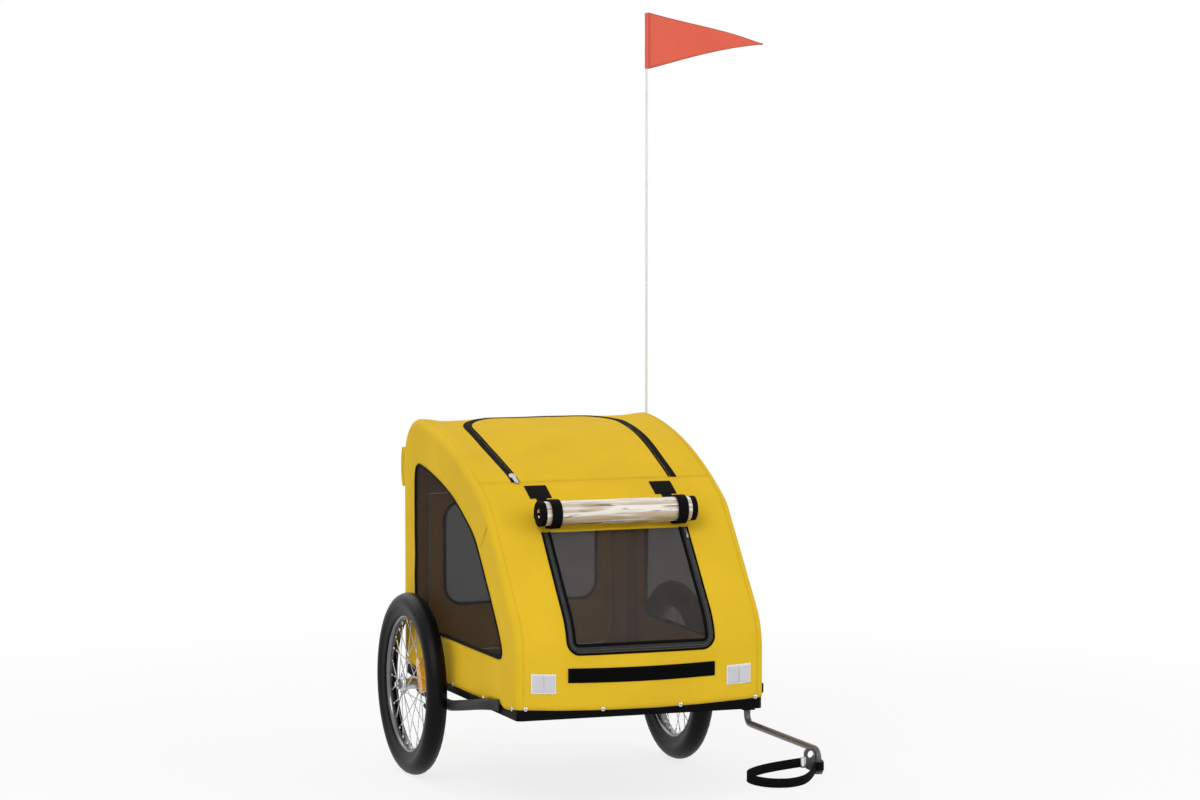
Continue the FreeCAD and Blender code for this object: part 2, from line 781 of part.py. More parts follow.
def rain_cover(parts):
    roll_radius = roll_diameter / 2
    strap_outer = (roll_radius + seat_gap + strap_thickness) / cosine(180 / strap_sides)
    stand = strap_outer + seat_gap + patch_thickness
    centre = vec(0, slope_y(roll_foot) - stand * sine(slope_angle), roll_foot + stand * cosine(slope_angle))
    face = roll_section(centre)
    face.translate(vec(-roll_length / 2, 0, 0))
    parts["rain_cover_roll"] = face.extrude(vec(roll_length, 0, 0))

    ring_start = vec(strap_x - strap_width / 2, centre.y, centre.z)
    ring_end = vec(strap_x + strap_width / 2, centre.y, centre.z)
    ring_bore = roll_radius + seat_gap
    ring = tube(ring_start, ring_end, strap_outer, ring_bore, strap_sides)
    lay = layer(0, patch_thickness, seam_half)
    patch = block(strap_x - patch_width / 2, strap_x + patch_width / 2, front_y, middle_y,
                  patch_bottom, patch_top)
    tail = block(strap_x - strap_width / 2, strap_x + strap_width / 2, front_y, middle_y,
                 roll_foot - strap_width / 2, patch_bottom)
    parts["roll_straps"] = pair(Part.makeCompound([ring, lay.common(patch.fuse(tail))]))
    print("gap between turns of the roll", roll_pitch - roll_sheet)


# Wheels, turned about the axle; built at the left side and mirrored to the right
def spokes():
    """Straight spokes from both flanges to the rim, every other one leading, crossed as on a cycle wheel."""
    count = spoke_pairs * 2
    step = 360 / count
    hub_radius = spoke_circle / 2
    rim_radius = tyre_seat_diameter / 2 - rim_depth - seat_gap - spoke_diameter / 4
    face_gap = flange_thickness / 2 + spoke_gap + spoke_diameter / 2
    rods = []
    for flange in (-1, 1):
        flange_x = flange * (hub_width / 2 - flange_inset - flange_thickness / 2)
        for hole in range(count):
            lead = 1 if hole % 2 == 0 else -1
            hub_angle = step * hole + (step / 2 if flange > 0 else 0)
            rim_angle = hub_angle + lead * spoke_crosses * step
            start = vec(wheel_middle + flange_x + lead * face_gap, hub_radius * cosine(hub_angle),
                        axle_height + hub_radius * sine(hub_angle))
            end = vec(wheel_middle, rim_radius * cosine(rim_angle),
                      axle_height + rim_radius * sine(rim_angle))
            rods.append(bar(start, end, spoke_diameter / 2, spoke_sides))
    return rods


def wheel_reflector():
    """Bar clipped between the two cones of spokes."""
    outer = wheel_reflector_radius + wheel_reflector_width / 2
    far_corner = math.hypot(outer, wheel_reflector_length / 2)
    spoke_height = (tyre_seat_diameter - spoke_circle) / 2 - rim_depth
    cone_share = 1 - (far_corner - spoke_circle / 2) / spoke_height
    flange_x = hub_width / 2 - flange_inset - flange_thickness - spoke_gap - spoke_diameter / 2
    half_thickness = flange_x * cone_share - spoke_diameter / 2 - seat_gap
    plate = block(wheel_middle - half_thickness, wheel_middle + half_thickness, wheel_reflector_radius
                  - wheel_reflector_width / 2, outer, axle_height - wheel_reflector_length / 2,
                  axle_height + wheel_reflector_length / 2)
    plate = chamfered(plate, ACROSS, wheel_reflector_corner)
    plate.rotate(vec(0, 0, axle_height), ACROSS, wheel_reflector_angle)
    return plate


def hub():
    """Barrel with a flange near each end and a bearing let into each end."""
    def along(inner, outer, radius, make=bar):
        return make(vec(wheel_middle + inner, 0, axle_height), vec(wheel_middle + outer, 0, axle_height),
                    radius, hub_sides)

    end = hub_width / 2
    flange_outer = end - flange_inset
    flange_inner = flange_outer - flange_thickness
    shoulder = end - bearing_width
    seat = bearing_diameter / 2
    barrel = along(-flange_inner, flange_inner, hub_waist_diameter / 2)
    pieces = []
    bearings = []
    for side in (-1, 1):
        pieces.append(along(side * flange_inner, side * flange_outer, flange_diameter / 2))
        pieces.append(along(side * (shoulder - flange_thickness), side * end, hub_end_diameter / 2))
        bearings.append(along(side * shoulder, side * end, seat).cut(
            along(-end, end, axle_diameter / 2 + running_gap, bore)))
    shell = barrel.fuse(pieces).cut(along(-end, end, hub_bore / 2, bore))
    for side in (-1, 1):
        shell = shell.cut(along(side * (shoulder + overrun), side * end, seat + running_gap, bore))
    return [shell] + bearings


def wheels(parts):
    seat = tyre_seat_diameter / 2
    height = wheel_diameter / 2 - seat
    outline = [(tyre_width / 2 * across, seat + height * up)
               for across, up in zip(tyre_width_shares, tyre_height_shares)]
    outline = [(-x, r) for x, r in outline] + [(x, r) for x, r in reversed(outline)]
    tyre = turned([(wheel_middle + x, r) for x, r in outline])

    rim_outer = seat - seat_gap
    rim_inner = seat - rim_depth
    half_rim = rim_width / 2
    rim = turned([(wheel_middle + x, r) for x, r in (
        (-half_rim, rim_outer), (half_rim, rim_outer), (half_rim, rim_inner), (-half_rim, rim_inner))])

    pieces = {"tyre": tyre, "rim": rim, "hub_and_spokes": Part.makeCompound(hub() + spokes()),
              "spoke_reflector": wheel_reflector()}
    for name, shape in pieces.items():
        parts["left_" + name] = shape
        parts["right_" + name] = mirrored(shape)


def axles(parts):
    radius = axle_diameter / 2
    nut_start = hub_outer + seat_gap
    nut_end = nut_start + axle_nut_width

    def along(inner, outer, size, sides=bar_sides):
        return bar(vec(inner, 0, axle_height), vec(outer, 0, axle_height), size, sides)

    axle = along(axle_tube_end - axle_grip, nut_end + axle_end_stand, radius)
    collar = along(axle_tube_end, hub_inner - seat_gap, axle_collar_diameter / 2)
    nut = along(nut_start, nut_end, axle_nut_diameter / 2, nut_sides)
    parts["axles"] = pair(axle.fuse([collar, nut]))


# Tow arm with its socket and pin, the coupler on its end and the safety strap
def tow_gear(parts):
    radius = arm_diameter / 2
    top = rail_top - arm_top_gap
    points = [vec(arm_x, arm_y, top), vec(arm_x, arm_y, arm_height), vec(arm_x, arm_end_y, arm_height),
              vec(arm_x, arm_end_y, arm_end_height)]
    pivot = rod(vec(arm_x, arm_y, arm_height + arm_bend), points[0], radius)
    arm = bent_bar(points, arm_bend, radius).fuse(pivot)
    groove = tube(vec(arm_x, arm_y, pin_height - groove_height / 2),
                  vec(arm_x, arm_y, pin_height + groove_height / 2), radius + overrun,
                  (radius - groove_depth) * cosine(180 / bar_sides))
    head = bar(points[3], points[3] + UP * arm_head_height, arm_head_diameter / 2)
    parts["tow_arm"] = arm.cut(groove).fuse(head)

    rail_face = rail_front + rail_width
    pin_tip = vec(arm_x, arm_y + radius - groove_depth + seat_gap, pin_height)
    pin_seat = vec(arm_x, rail_face, pin_height)
    pin = bar(pin_tip, pin_seat, pin_diameter / 2)
    parts["arm_retaining_pin"] = pin.fuse(bar(pin_seat, pin_seat + REARWARD * pin_head_length,
                                              pin_head_diameter / 2))

    boss_low = arm_end_height + arm_head_height + seat_gap
    boss_high = boss_low + coupler_boss_height
    axis_low = vec(arm_x, arm_end_y, boss_low)
    axis_high = vec(arm_x, arm_end_y, boss_high)
    boss = bar(axis_low, axis_high, coupler_boss_diameter / 2)
    half_plate = coupler_plate_width / 2
    plate_x = arm_x - coupler_offset
    plate_top = coupler_hole_height + half_plate
    half_thick = coupler_plate_thickness / 2
    plate = block(plate_x - half_plate, plate_x + half_plate, arm_end_y - half_thick, arm_end_y + half_thick,
                  plate_top - coupler_plate_height, plate_top)
    plate = rounded(plate, REARWARD, half_plate - seat_gap, lambda point: True)
    relief = rod(axis_high, vec(arm_x, arm_end_y, plate_top + overrun), radius + coupler_arm_gap)
    hole = rod(vec(plate_x, arm_end_y - half_thick - overrun, coupler_hole_height),
               vec(plate_x, arm_end_y + half_thick + overrun, coupler_hole_height), coupler_hole / 2)
    coupler = boss.fuse(plate.cut(relief)).cut(bore(axis_low, axis_high, radius + running_gap))
    parts["coupler"] = coupler.cut(hole)

    route = [vec(arm_x + x, arm_end_y - ahead, z) for x, ahead, z in strap_route]
    path, radii = bent_wire(route, body_length)
    along = (route[1] - route[0]).normalize()
    across = UP.cross(along).normalize() * (webbing_thickness / 2)
    rise = UP * (webbing_width / 2)
    corners = [route[0] + across + rise, route[0] - across + rise, route[0] - across - rise,
               route[0] + across - rise]
    sweep = Part.BRepOffsetAPI.MakePipeShell(path)
    sweep.setBiNormalMode(UP)
    sweep.add(Part.makePolygon(corners + corners[:1]))
    sweep.build()
    sweep.makeSolid()
    strap = sweep.shape()
    parts["safety_strap"] = strap
    print("strap length", round(path.Length, 1), "volume", round(strap.Volume, 1), "section times length",
          round(path.Length * webbing_width * webbing_thickness, 1))
    print("strap radii", [round(radius, 1) for radius in radii])

    clip_end = plate_x - half_plate - seat_gap
    clip_middle = route[0].z
    half_wire = clip_wire / 2
    clip = block(clip_end - clip_length, clip_end, route[0].y - half_wire, route[0].y + half_wire,
                 clip_middle - clip_height / 2, clip_middle + clip_height / 2)
    eye = block(clip_end - clip_length + clip_wire, clip_end - clip_wire, route[0].y - clip_wire,
                route[0].y + clip_wire, clip_middle - clip_height / 2 + clip_wire,
                clip_middle + clip_height / 2 - clip_wire)
    parts["strap_clip"] = chamfered(clip, REARWARD, clip_wire / 2).cut(eye)


# Flag: pole in a pocket and a loop on the left side panel, and a pennant with a slow wave
def flag(parts):
    radius = pole_diameter / 2
    inside = radius + running_gap
    outer = inside + pocket_wall
    floor = pole_bottom - seat_gap
    pocket = bar(vec(pole_x, pole_y, floor - pocket_wall), vec(pole_x, pole_y, floor + pocket_depth), outer)
    pocket = pocket.cut(bore(vec(pole_x, pole_y, floor + overrun), vec(pole_x, pole_y, floor + pocket_depth),
                             inside))
    loop = tube(vec(pole_x, pole_y, loop_middle - loop_height / 2),
                vec(pole_x, pole_y, loop_middle + loop_height / 2), outer, inside)
    parts["flag_socket"] = Part.makeCompound([pocket, loop])
    parts["flag_pole"] = bar(vec(pole_x, pole_y, pole_bottom), vec(pole_x, pole_y, pole_top), radius)

    low = pole_top - flag_height
    sleeve = tube(vec(pole_x, pole_y, low), vec(pole_x, pole_y, pole_top), inside + flag_cloth, inside)
    start = pole_x + inside + flag_cloth / 2
    end = pole_x + flag_length

    def wave(shift):
        places = []
        for step, swing in enumerate(flag_swings):
            share = step / (len(flag_swings) - 1)
            places.append(vec(start + (end - start) * share, pole_y + flag_wave * swing + shift, low))
        return [Part.Arc(*places[:3]).toShape(), Part.Arc(*places[2:]).toShape()], places[0], places[-1]

    near, near_start, near_end = wave(-flag_cloth / 2)
    far, far_start, far_end = wave(flag_cloth / 2)
    edges = near + [Part.makeLine(near_end, far_end)] + far[::-1] + [Part.makeLine(far_start, near_start)]
    sheet = Part.Face(Part.Wire(Part.__sortEdges__(edges))).extrude(UP * flag_height)
    tip = low + flag_height * (1 - flag_tip_share)
    corners = [vec(pole_x, pole_y - body_width, z) for z in (low, pole_top)]
    corners.append(vec(end, pole_y - body_width, tip))
    triangle = Part.Face(Part.makePolygon(corners + corners[:1])).extrude(REARWARD * (body_width * 2))
    parts["flag"] = sheet.common(triangle).fuse(sleeve)


def main():
    os.makedirs("parts", exist_ok=True)
    parts = {}
    for make in (floor_frame, wheel_bows, hoops, cabin_cloth, trim, rain_cover, wheels, axles, tow_gear,
                 flag):
        make(parts)
    for name, shape in parts.items():
        shape.exportStep("parts/" + name + ".step")
    print(len(parts), "nodes")
    print("front window hinge", round(slope_y(front_window_head), 3), front_window_head)
    print("roof hatch hinge", round(seam_y, 3), round(seam_z, 3), "roof top", round(roof_top, 2))
    print("rear door hinge", rear_y, door_head)
    print("tow arm axis", round(arm_x, 3), round(arm_y, 3), "arm end", round(arm_end_y, 3))


main()
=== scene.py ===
import math

import bpy
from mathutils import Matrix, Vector, geometry, kdtree, noise


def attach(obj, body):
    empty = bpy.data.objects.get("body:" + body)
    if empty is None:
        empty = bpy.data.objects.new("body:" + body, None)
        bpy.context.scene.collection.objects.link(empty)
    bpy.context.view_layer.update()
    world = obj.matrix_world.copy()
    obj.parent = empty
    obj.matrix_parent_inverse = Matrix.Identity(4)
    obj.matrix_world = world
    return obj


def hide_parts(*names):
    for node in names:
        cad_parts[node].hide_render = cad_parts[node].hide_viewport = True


bl_info = {
    "name": "Dog bike trailer",
    "version": (1, 0, 0),
    "blender": (4, 5, 0),
    "location": "View3D > Sidebar > Trailer",
    "description": "Dresses the packed dog bike trailer in cloth, mesh, rubber and metal",
    "category": "Add Mesh",
}

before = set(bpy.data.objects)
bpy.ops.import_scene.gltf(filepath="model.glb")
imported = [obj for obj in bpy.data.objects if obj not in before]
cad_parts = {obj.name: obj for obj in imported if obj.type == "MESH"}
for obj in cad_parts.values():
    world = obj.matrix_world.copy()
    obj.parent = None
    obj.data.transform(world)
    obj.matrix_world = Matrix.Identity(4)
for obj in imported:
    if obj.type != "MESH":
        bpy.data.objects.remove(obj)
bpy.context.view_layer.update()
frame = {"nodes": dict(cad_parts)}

SIDES = ((-1, "right"), (1, "left"))

# Lengths in metres, repeated from the part's source
HALF_WIDTH = 0.275
FRONT_Y = -0.605
REAR_Y = 0.165
HEM = 0.226
CLOTH = 0.002
MESH_CLOTH = 0.0012
FLAP_GAP = 0.0008
EDGE_ROUND = 0.0133
SEAM_HALF = HALF_WIDTH - EDGE_ROUND
SEAM_Z = 0.669438
WHEEL_X = 0.310
AXLE_Z = 0.200
POLE = Vector((0.28035, 0.107, 0.0))
POLE_TOP = 1.668

# The cabin's outline: a height, radii and a run, then headings above level in degrees
NOSE_Z = 0.328
NOSE_RADIUS = 0.143
FRONT_RUN = 0.254
BROW_RADIUS = 0.060
TAIL_RADIUS = 0.095
FRONT_HEADING = 50.3
ROOF_HEADING = 32.0
TAIL_HEADING = 3.5

# Front window, roof hatch and rear door: half widths, ends and corner radii
WINDOW_HALF = 0.156
WINDOW_FOOT = 0.344
WINDOW_HEAD = 0.574
WINDOW_CORNER = 0.019
HATCH_HALF = 0.174
HATCH_SETBACK = 0.070
HATCH_CORNER = 0.080
DOOR_HALF = 0.215
DOOR_HEAD = 0.600
DOOR_FOOT = 0.245
DOOR_CORNER = 0.030

# Route of the safety strap, in the same frame as model.glb
STRAP_ROUTE = (
    (0.2024, -0.9772, 0.149), (0.1574, -0.9802, 0.146), (0.1054, -0.9882, 0.141), (0.0694, -1.0062, 0.135),
    (0.0774, -1.0282, 0.128), (0.1154, -1.0382, 0.121), (0.1674, -1.0352, 0.119), (0.2094, -1.0152, 0.125),
    (0.2354, -0.9786, 0.139),
)

# Route of a wheel bow on the left side, from the rail in front to the rail behind
BOW_ROUTE = (
    (0.2782, -0.5000, 0.2229), (0.2798, -0.4800, 0.2205), (0.2850, -0.4450, 0.2165),
    (0.2885, -0.3900, 0.2088), (0.2885, -0.3300, 0.1989), (0.2860, -0.2700, 0.1894),
    (0.2800, -0.2150, 0.1808), (0.2720, -0.1600, 0.1722), (0.2685, -0.1000, 0.1700),
    (0.2685, -0.0300, 0.1755), (0.2685, 0.0650, 0.1762), (0.2602, 0.0950, 0.1862),
    (0.2602, 0.1407, 0.1867),
)

# Ends of the pleat in the right side panel, by setback and height
PLEAT = (Vector((-0.4140, 0.5870)), Vector((-0.3600, 0.5350)))

# Width of the cloth beside a hoop that the hoop steadies
HELD = 0.05

# Place and direction of the camera, its sensor and lens in millimetres, and where the lamps point
CAMERA_PLACE = (-3.085, -8.7609, 1.5588)
CAMERA_DIRECTION = Vector((0.34339, 0.93579, -0.07983))
CAMERA_SENSOR = 36.0
CAMERA_LENS = 126.72
LAMP_TARGET = Vector((0, -0.2, 0.4))


def linear(red, green, blue):
    """Linear colour of a colour picked on a screen."""
    def one(value):
        value /= 255
        return value / 12.92 if value <= 0.04045 else ((value + 0.055) / 1.055) ** 2.4
    return one(red), one(green), one(blue)


def length_property(name, description, default):
    return bpy.props.FloatProperty(name=name, description=description, default=default, min=0.0,
                                   precision=4, unit="LENGTH")


def colour_property(name, description, default):
    return bpy.props.FloatVectorProperty(name=name, description=description, default=default, min=0.0,
                                         max=1.0, size=3, subtype="COLOR")


class TrailerSizes(bpy.types.PropertyGroup):
    cloth_grid: length_property("Cloth grid", "Spacing of the points in a cloth panel", 0.008)
    hem_droop: length_property("Hem droop", "How far the front hem hangs lower at its middle", 0.009)
    side_droop: length_property("Side droop", "How far the side hems hang lower between their ends", 0.0065)
    ripple: length_property("Ripple", "Height of the slow ripples in the stretched cloth", 0.0012)
    piping_width: length_property("Piping width", "Width of the binding round the side windows", 0.007)
    piping_height: length_property("Piping height", "How far that binding stands off the cloth", 0.0025)
    tape_height: length_property("Tape height", "How far zip tapes stand off the cloth", 0.0007)
    stitch_pitch: length_property("Stitch pitch", "Distance from stitch to stitch", 0.005)
    roll_sheet: length_property("Roll sheet", "Thickness of the clear rain cover", 0.0012)
    roll_pitch: length_property("Roll pitch", "Distance between turns of the rain cover", 0.0042)
    webbing_width: length_property("Webbing width", "Width of the safety strap", 0.019)
    webbing_thickness: length_property("Webbing thickness", "Thickness of the safety strap", 0.0025)
    flag_wave: length_property("Flag wave", "Height of the wave in the pennant", 0.008)


class TrailerColours(bpy.types.PropertyGroup):
    cloth: colour_property("Cloth", "Cabin cloth", linear(246, 207, 48))
    mesh: colour_property("Mesh", "Yarn of the window mesh", linear(36, 32, 30))
    tape: colour_property("Tape", "Bindings, zip tapes and straps", linear(9, 8, 8))
    frame: colour_property("Frame", "Painted rails", linear(13, 12, 12))
    bow: colour_property("Bow", "Wheel bows", linear(50, 50, 52))
    steel: colour_property("Steel", "Spokes, hubs and snaps", linear(205, 206, 208))
    rubber: colour_property("Rubber", "Tyres", linear(15, 15, 16))
    amber: colour_property("Amber", "Wheel reflectors", linear(250, 178, 52))
    reflector: colour_property("Reflector", "Front reflector patches", linear(214, 214, 220))
    flag: colour_property("Flag", "Pennant", linear(222, 95, 72))
    pole: colour_property("Pole", "Flag pole", linear(236, 236, 234))
    clear: colour_property("Clear", "Rain cover film", linear(255, 250, 240))


def sizes():
    return bpy.context.scene.trailer_sizes


def colour_of(name):
    return tuple(getattr(bpy.context.scene.trailer_colours, name))


def shade(colour, share):
    return tuple(value * share for value in colour)


# Shader nodes as sums
class Wire:
    """A shader socket that stands in sums; each operator adds a Math node."""

    def __init__(self, tree, socket):
        self.tree = tree
        self.socket = socket

    def node(self, kind, settings=None, values=None, out=0):
        """Any other node: its type, its settings, then the values or links of its sockets."""
        made = self.tree.nodes.new(kind)
        for key, value in (settings or {}).items():
            setattr(made, key, value)
        for key, value in (values or {}).items():
            self.feed(made.inputs[key], value)
        return Wire(self.tree, made.outputs[out])

    def feed(self, socket, value):
        if isinstance(value, Wire):
            self.tree.links.new(value.socket, socket)
        else:
            socket.default_value = value

    def maths(self, operation, *values):
        return self.node("ShaderNodeMath", {"operation": operation}, dict(enumerate((self, *values))))

    def __add__(self, other):
        return self.maths("ADD", other)

    __radd__ = __add__

    def __sub__(self, other):
        return self.maths("SUBTRACT", other)

    def __rsub__(self, other):
        return self.maths("MULTIPLY", -1) + other

    def __mul__(self, other):
        return self.maths("MULTIPLY", other)

    __rmul__ = __mul__

    def sine(self):
        return self.maths("SINE")

    def ramp(self, low, high):
        """0 below low and 1 above high."""
        return self.node("ShaderNodeMapRange", {"interpolation_type": "SMOOTHSTEP"},
                         {"Value": self, "From Min": low, "From Max": high})

    def mix(self, first, second):
        """A colour that goes from first to second as this goes from 0 to 1."""
        first, second = (c if isinstance(c, Wire) else (*c, 1) for c in (first, second))
        return self.node("ShaderNodeMix", {"data_type": "RGBA"}, {0: self, 6: first, 7: second}, 2)

    def tones(self, colour, first, second):
        """A colour that goes from one share of its strength to another as this goes from 0 to 1."""
        return self.mix(shade(colour, first), shade(colour, second))

    def parts(self):
        made = self.node("ShaderNodeSeparateXYZ", None, {"Vector": self})
        return [Wire(self.tree, socket) for socket in made.socket.node.outputs]

    def scaled(self, *scale):
        return self.node("ShaderNodeMapping", None, {"Vector": self, "Scale": scale})

    def noise(self, scale, detail=2.0, bent=0.0):
        return self.node("ShaderNodeTexNoise", None,
                         {"Vector": self, "Scale": scale, "Detail": detail, "Distortion": bent})

    def cells(self, scale):
        return self.node("ShaderNodeTexVoronoi", None, {"Vector": self, "Scale": scale})

    def bump(self, strength, distance):
        return self.node("ShaderNodeBump", None, {"Height": self, "Strength": strength, "Distance": distance})


class Finish:
    """A material with one Principled shader, its coordinates, and its named sockets."""

    def __init__(self, name, **sockets):
        self.material = bpy.data.materials.new(name)
        self.material.use_nodes = True
        self.tree = self.material.node_tree
        self.shader = self.tree.nodes["Principled BSDF"]
        places = Wire(self.tree, None).node("ShaderNodeTexCoord").socket.node.outputs
        self.place = Wire(self.tree, places["Object"])
        self.cloth = Wire(self.tree, places["UV"])
        self.set(**sockets)

    def set(self, **sockets):
        """Sets or links shader sockets named in lower case with underscores."""
        for key, value in sockets.items():
            socket = self.shader.inputs[key.replace("_", " ").title().replace("Ior", "IOR")]
            if socket.type == "RGBA" and not isinstance(value, Wire):
                value = (*value, 1)
            self.place.feed(socket, value)
        return self

    def mix_in(self, share, other):
        """Mixes another shader into this one by a share."""
        mixed = self.place.node("ShaderNodeMixShader", None, {0: share, 2: other})
        self.tree.links.new(self.shader.outputs[0], mixed.socket.node.inputs[1])
        self.tree.links.new(mixed.socket, self.tree.nodes["Material Output"].inputs[0])
        return self


finishes = {}


def finish(name):
    """The finish of a name, made when it is first asked for."""
    if name not in finishes:
        finishes[name] = FINISHES[name](name).material
    return finishes[name]


def weave(cloth, threads):
    """Height of a plain weave with so many threads to a metre, on coordinates in metres."""
    across, along, _ = cloth.parts()
    turn = math.pi * threads
    return (across * turn).sine() * (along * turn).sine()


def yellow_cloth(name):
    made = Finish(name, specular_ior_level=0.08)
    colour = colour_of("cloth")
    clouds = made.place.noise(7.0).ramp(0.3, 0.7)
    threads = weave(made.cloth, 1100)
    fine = made.place.noise(900.0, 1.0)
    base = clouds.tones(colour, 0.94, 1.04)
    base = (threads * 0.5 + fine * 0.6).ramp(-0.4, 0.8).mix(shade(colour, 0.9), base)
    made.set(base_color=base, roughness=0.58 + fine * 0.12,
             normal=(threads + made.place.noise(60.0) * 1.5).bump(0.12, 0.0004))
    let_through = made.place.node("ShaderNodeBsdfTranslucent", None, {"Color": (1.0, 0.74, 0.24, 1)})
    return made.mix_in(0.2, let_through)


def open_mesh(name, colour):
    """Knitted mesh, 800 holes to a metre each way, that shows what is behind it."""
    made = Finish(name, roughness=0.7, specular_ior_level=0.2)
    across, along, _ = made.cloth.parts()
    turn = 2 * math.pi * 800
    holes = ((across * turn).sine() + (along * turn).sine()).ramp(-1.2, 1.2)
    clouds = made.place.noise(25.0)
    return made.set(base_color=clouds.tones(colour, 0.8, 1.3), alpha=0.7 - holes * 0.3)


def window_mesh(name):
    return open_mesh(name, colour_of("mesh"))


def front_mesh(name):
    # A lighter copy of the window mesh yarn: the extra lightness is painted light for the front window.
    return open_mesh(name, linear(60, 56, 54))


def woven_tape(name, colour):
    """Woven tape with 700 ribs to a metre across it and a little fuzz."""
    made = Finish(name, specular_ior_level=0.06)
    ribs = (made.cloth.parts()[1] * (2 * math.pi * 700)).sine()
    fuzz = made.place.noise(700.0, 2.0)
    return made.set(base_color=fuzz.tones(colour, 0.6, 1.5), roughness=0.62 + fuzz * 0.2,
                    normal=(ribs * 0.5 + fuzz).bump(0.35, 0.0004))


def ribbed_tape(name):
    return woven_tape(name, colour_of("tape"))


def grey_tape(name):
    return woven_tape(name, linear(52, 53, 56))


def hook_nap(name):
    made = Finish(name, specular_ior_level=0.05)
    hooks = made.place.cells(620.0)
    return made.set(base_color=hooks.ramp(0.1, 0.7).tones(colour_of("tape"), 0.3, 0.9),
                    roughness=0.75 + hooks * 0.2, normal=hooks.bump(0.6, 0.0008))


def zip_teeth(name):
    made = Finish(name, metallic=0.5)
    worn = made.place.noise(300.0)
    return made.set(base_color=worn.mix(linear(58, 59, 62), linear(92, 93, 97)), roughness=0.3 + worn * 0.2)


def black_coil(name):
    made = Finish(name, specular_ior_level=0.15)
    worn = made.place.noise(300.0)
    return made.set(base_color=worn.mix(linear(9, 9, 9), linear(20, 19, 20)), roughness=0.5 + worn * 0.2)


def clear_film(name):
    """Clear film with pale wavy streaks along the roll and a warm underside, both painted light."""
    made = Finish(name, transmission_weight=0.2, ior=1.42, specular_ior_level=0.8, coat_weight=1.0,
                  coat_roughness=0.04)
    drawn_out = made.place.scaled(5.0, 80.0, 80.0)
    streaks = drawn_out.noise(1.0, 3.0, 0.9)
    painted_shade_lines = drawn_out.noise(2.0, 2.0, 0.7)
    # Painted highlight and shade: streaks that go from beige to the film's clear white.
    painted_film_colour = streaks.ramp(0.40, 0.58).mix(linear(214, 192, 166), colour_of("clear"))
    # Painted cloth yellow, as seen through the film, laid on the roll's lower part by height.
    painted_cloth_yellow_below = streaks.ramp(0.4, 0.6).mix(linear(206, 172, 116), painted_film_colour)
    painted_film_colour = made.place.parts()[2].ramp(0.590, 0.618).mix(painted_cloth_yellow_below, painted_film_colour)
    # Painted shade: thin brown lines along the roll.
    painted_film_colour = painted_shade_lines.ramp(0.60, 0.67).mix(painted_film_colour, linear(146, 116, 86))
    return made.set(base_color=painted_film_colour, roughness=0.05 + streaks * 0.1, normal=streaks.bump(0.8, 0.003))


def painted(name, colour, rough=0.42, metallic=0.0, gloss=0.2):
    """Powder paint: a fine peel, and lighter worn specks."""
    made = Finish(name, metallic=metallic, specular_ior_level=gloss)
    peel = made.place.noise(420.0, 2.0)
    worn = made.place.noise(38.0, 4.0).ramp(0.62, 0.78)
    return made.set(base_color=worn.tones(colour, 0.95, 1.5), roughness=rough + peel * 0.14,
                    normal=peel.bump(0.12, 0.0005))


def rail_paint(name):
    return painted(name, colour_of("frame"), gloss=0.04)


def hoop_paint(name):
    return painted(name, linear(70, 68, 66))


def bow_paint(name):
    return painted(name, colour_of("bow"), 0.5, gloss=0.12)


def arm_paint(name):
    return painted(name, linear(98, 94, 92), 0.22, 0.3)


def coupler_paint(name):
    return painted(name, linear(78, 78, 80), 0.45, 0.2)


def black_plastic(name):
    return painted(name, linear(36, 36, 37), 0.5)


def steel(name):
    made = Finish(name, metallic=1.0)
    brushed = made.place.scaled(900.0, 90.0, 90.0).noise(1.0, 2.0)
    spots = made.place.noise(45.0, 3.0)
    return made.set(base_color=spots.tones(colour_of("steel"), 0.8, 1.0), roughness=0.18 + brushed * 0.16,
                    normal=brushed.bump(0.06, 0.0004))


def chrome_rim(name):
    made = Finish(name, metallic=1.0)
    spots = made.place.noise(60.0, 3.0)
    # The steel colour cut to a sixth to a third of itself: painted dark reflections on the chrome rim.
    return made.set(base_color=spots.tones(colour_of("steel"), 0.17, 0.34), roughness=0.12 + spots * 0.14)


def tyre_rubber(name):
    made = Finish(name, specular_ior_level=0.10)
    dust = made.place.noise(22.0, 4.0).ramp(0.4, 0.75)
    grain = made.place.noise(600.0, 2.0)
    return made.set(base_color=dust.tones(colour_of("rubber"), 0.9, 1.3), roughness=0.32 + grain * 0.18,
                    normal=grain.bump(0.15, 0.0005))


def amber_lens(name):
    made = Finish(name, coat_weight=0.7, coat_roughness=0.08)
    prisms = made.place.cells(230.0)
    return made.set(base_color=prisms.ramp(0.0, 0.6).tones(colour_of("amber"), 1.08, 0.84),
                    roughness=0.16 + prisms * 0.2, normal=prisms.bump(0.5, 0.0012))


def silver_patch(name):
    made = Finish(name, metallic=0.25, coat_weight=0.5, coat_roughness=0.12)
    cells = made.place.cells(330.0)
    return made.set(base_color=cells.ramp(0.05, 0.6).tones(colour_of("reflector"), 1.0, 0.84),
                    roughness=0.22 + cells * 0.2, normal=cells.bump(0.3, 0.0006))


def flag_weave(name, colour):
    made = Finish(name, sheen_weight=0.15, specular_ior_level=0.3)
    clouds = made.place.noise(16.0)
    return made.set(base_color=clouds.tones(colour, 0.92, 1.06), roughness=0.5 + clouds * 0.12,
                    normal=weave(made.cloth, 900).bump(0.1, 0.0003))


def flag_cloth(name):
    return flag_weave(name, colour_of("flag"))


def flag_hem(name):
    # The pennant cloth darkened: painted shade along its top and bottom hems.
    return flag_weave(name, shade(colour_of("flag"), 0.62))


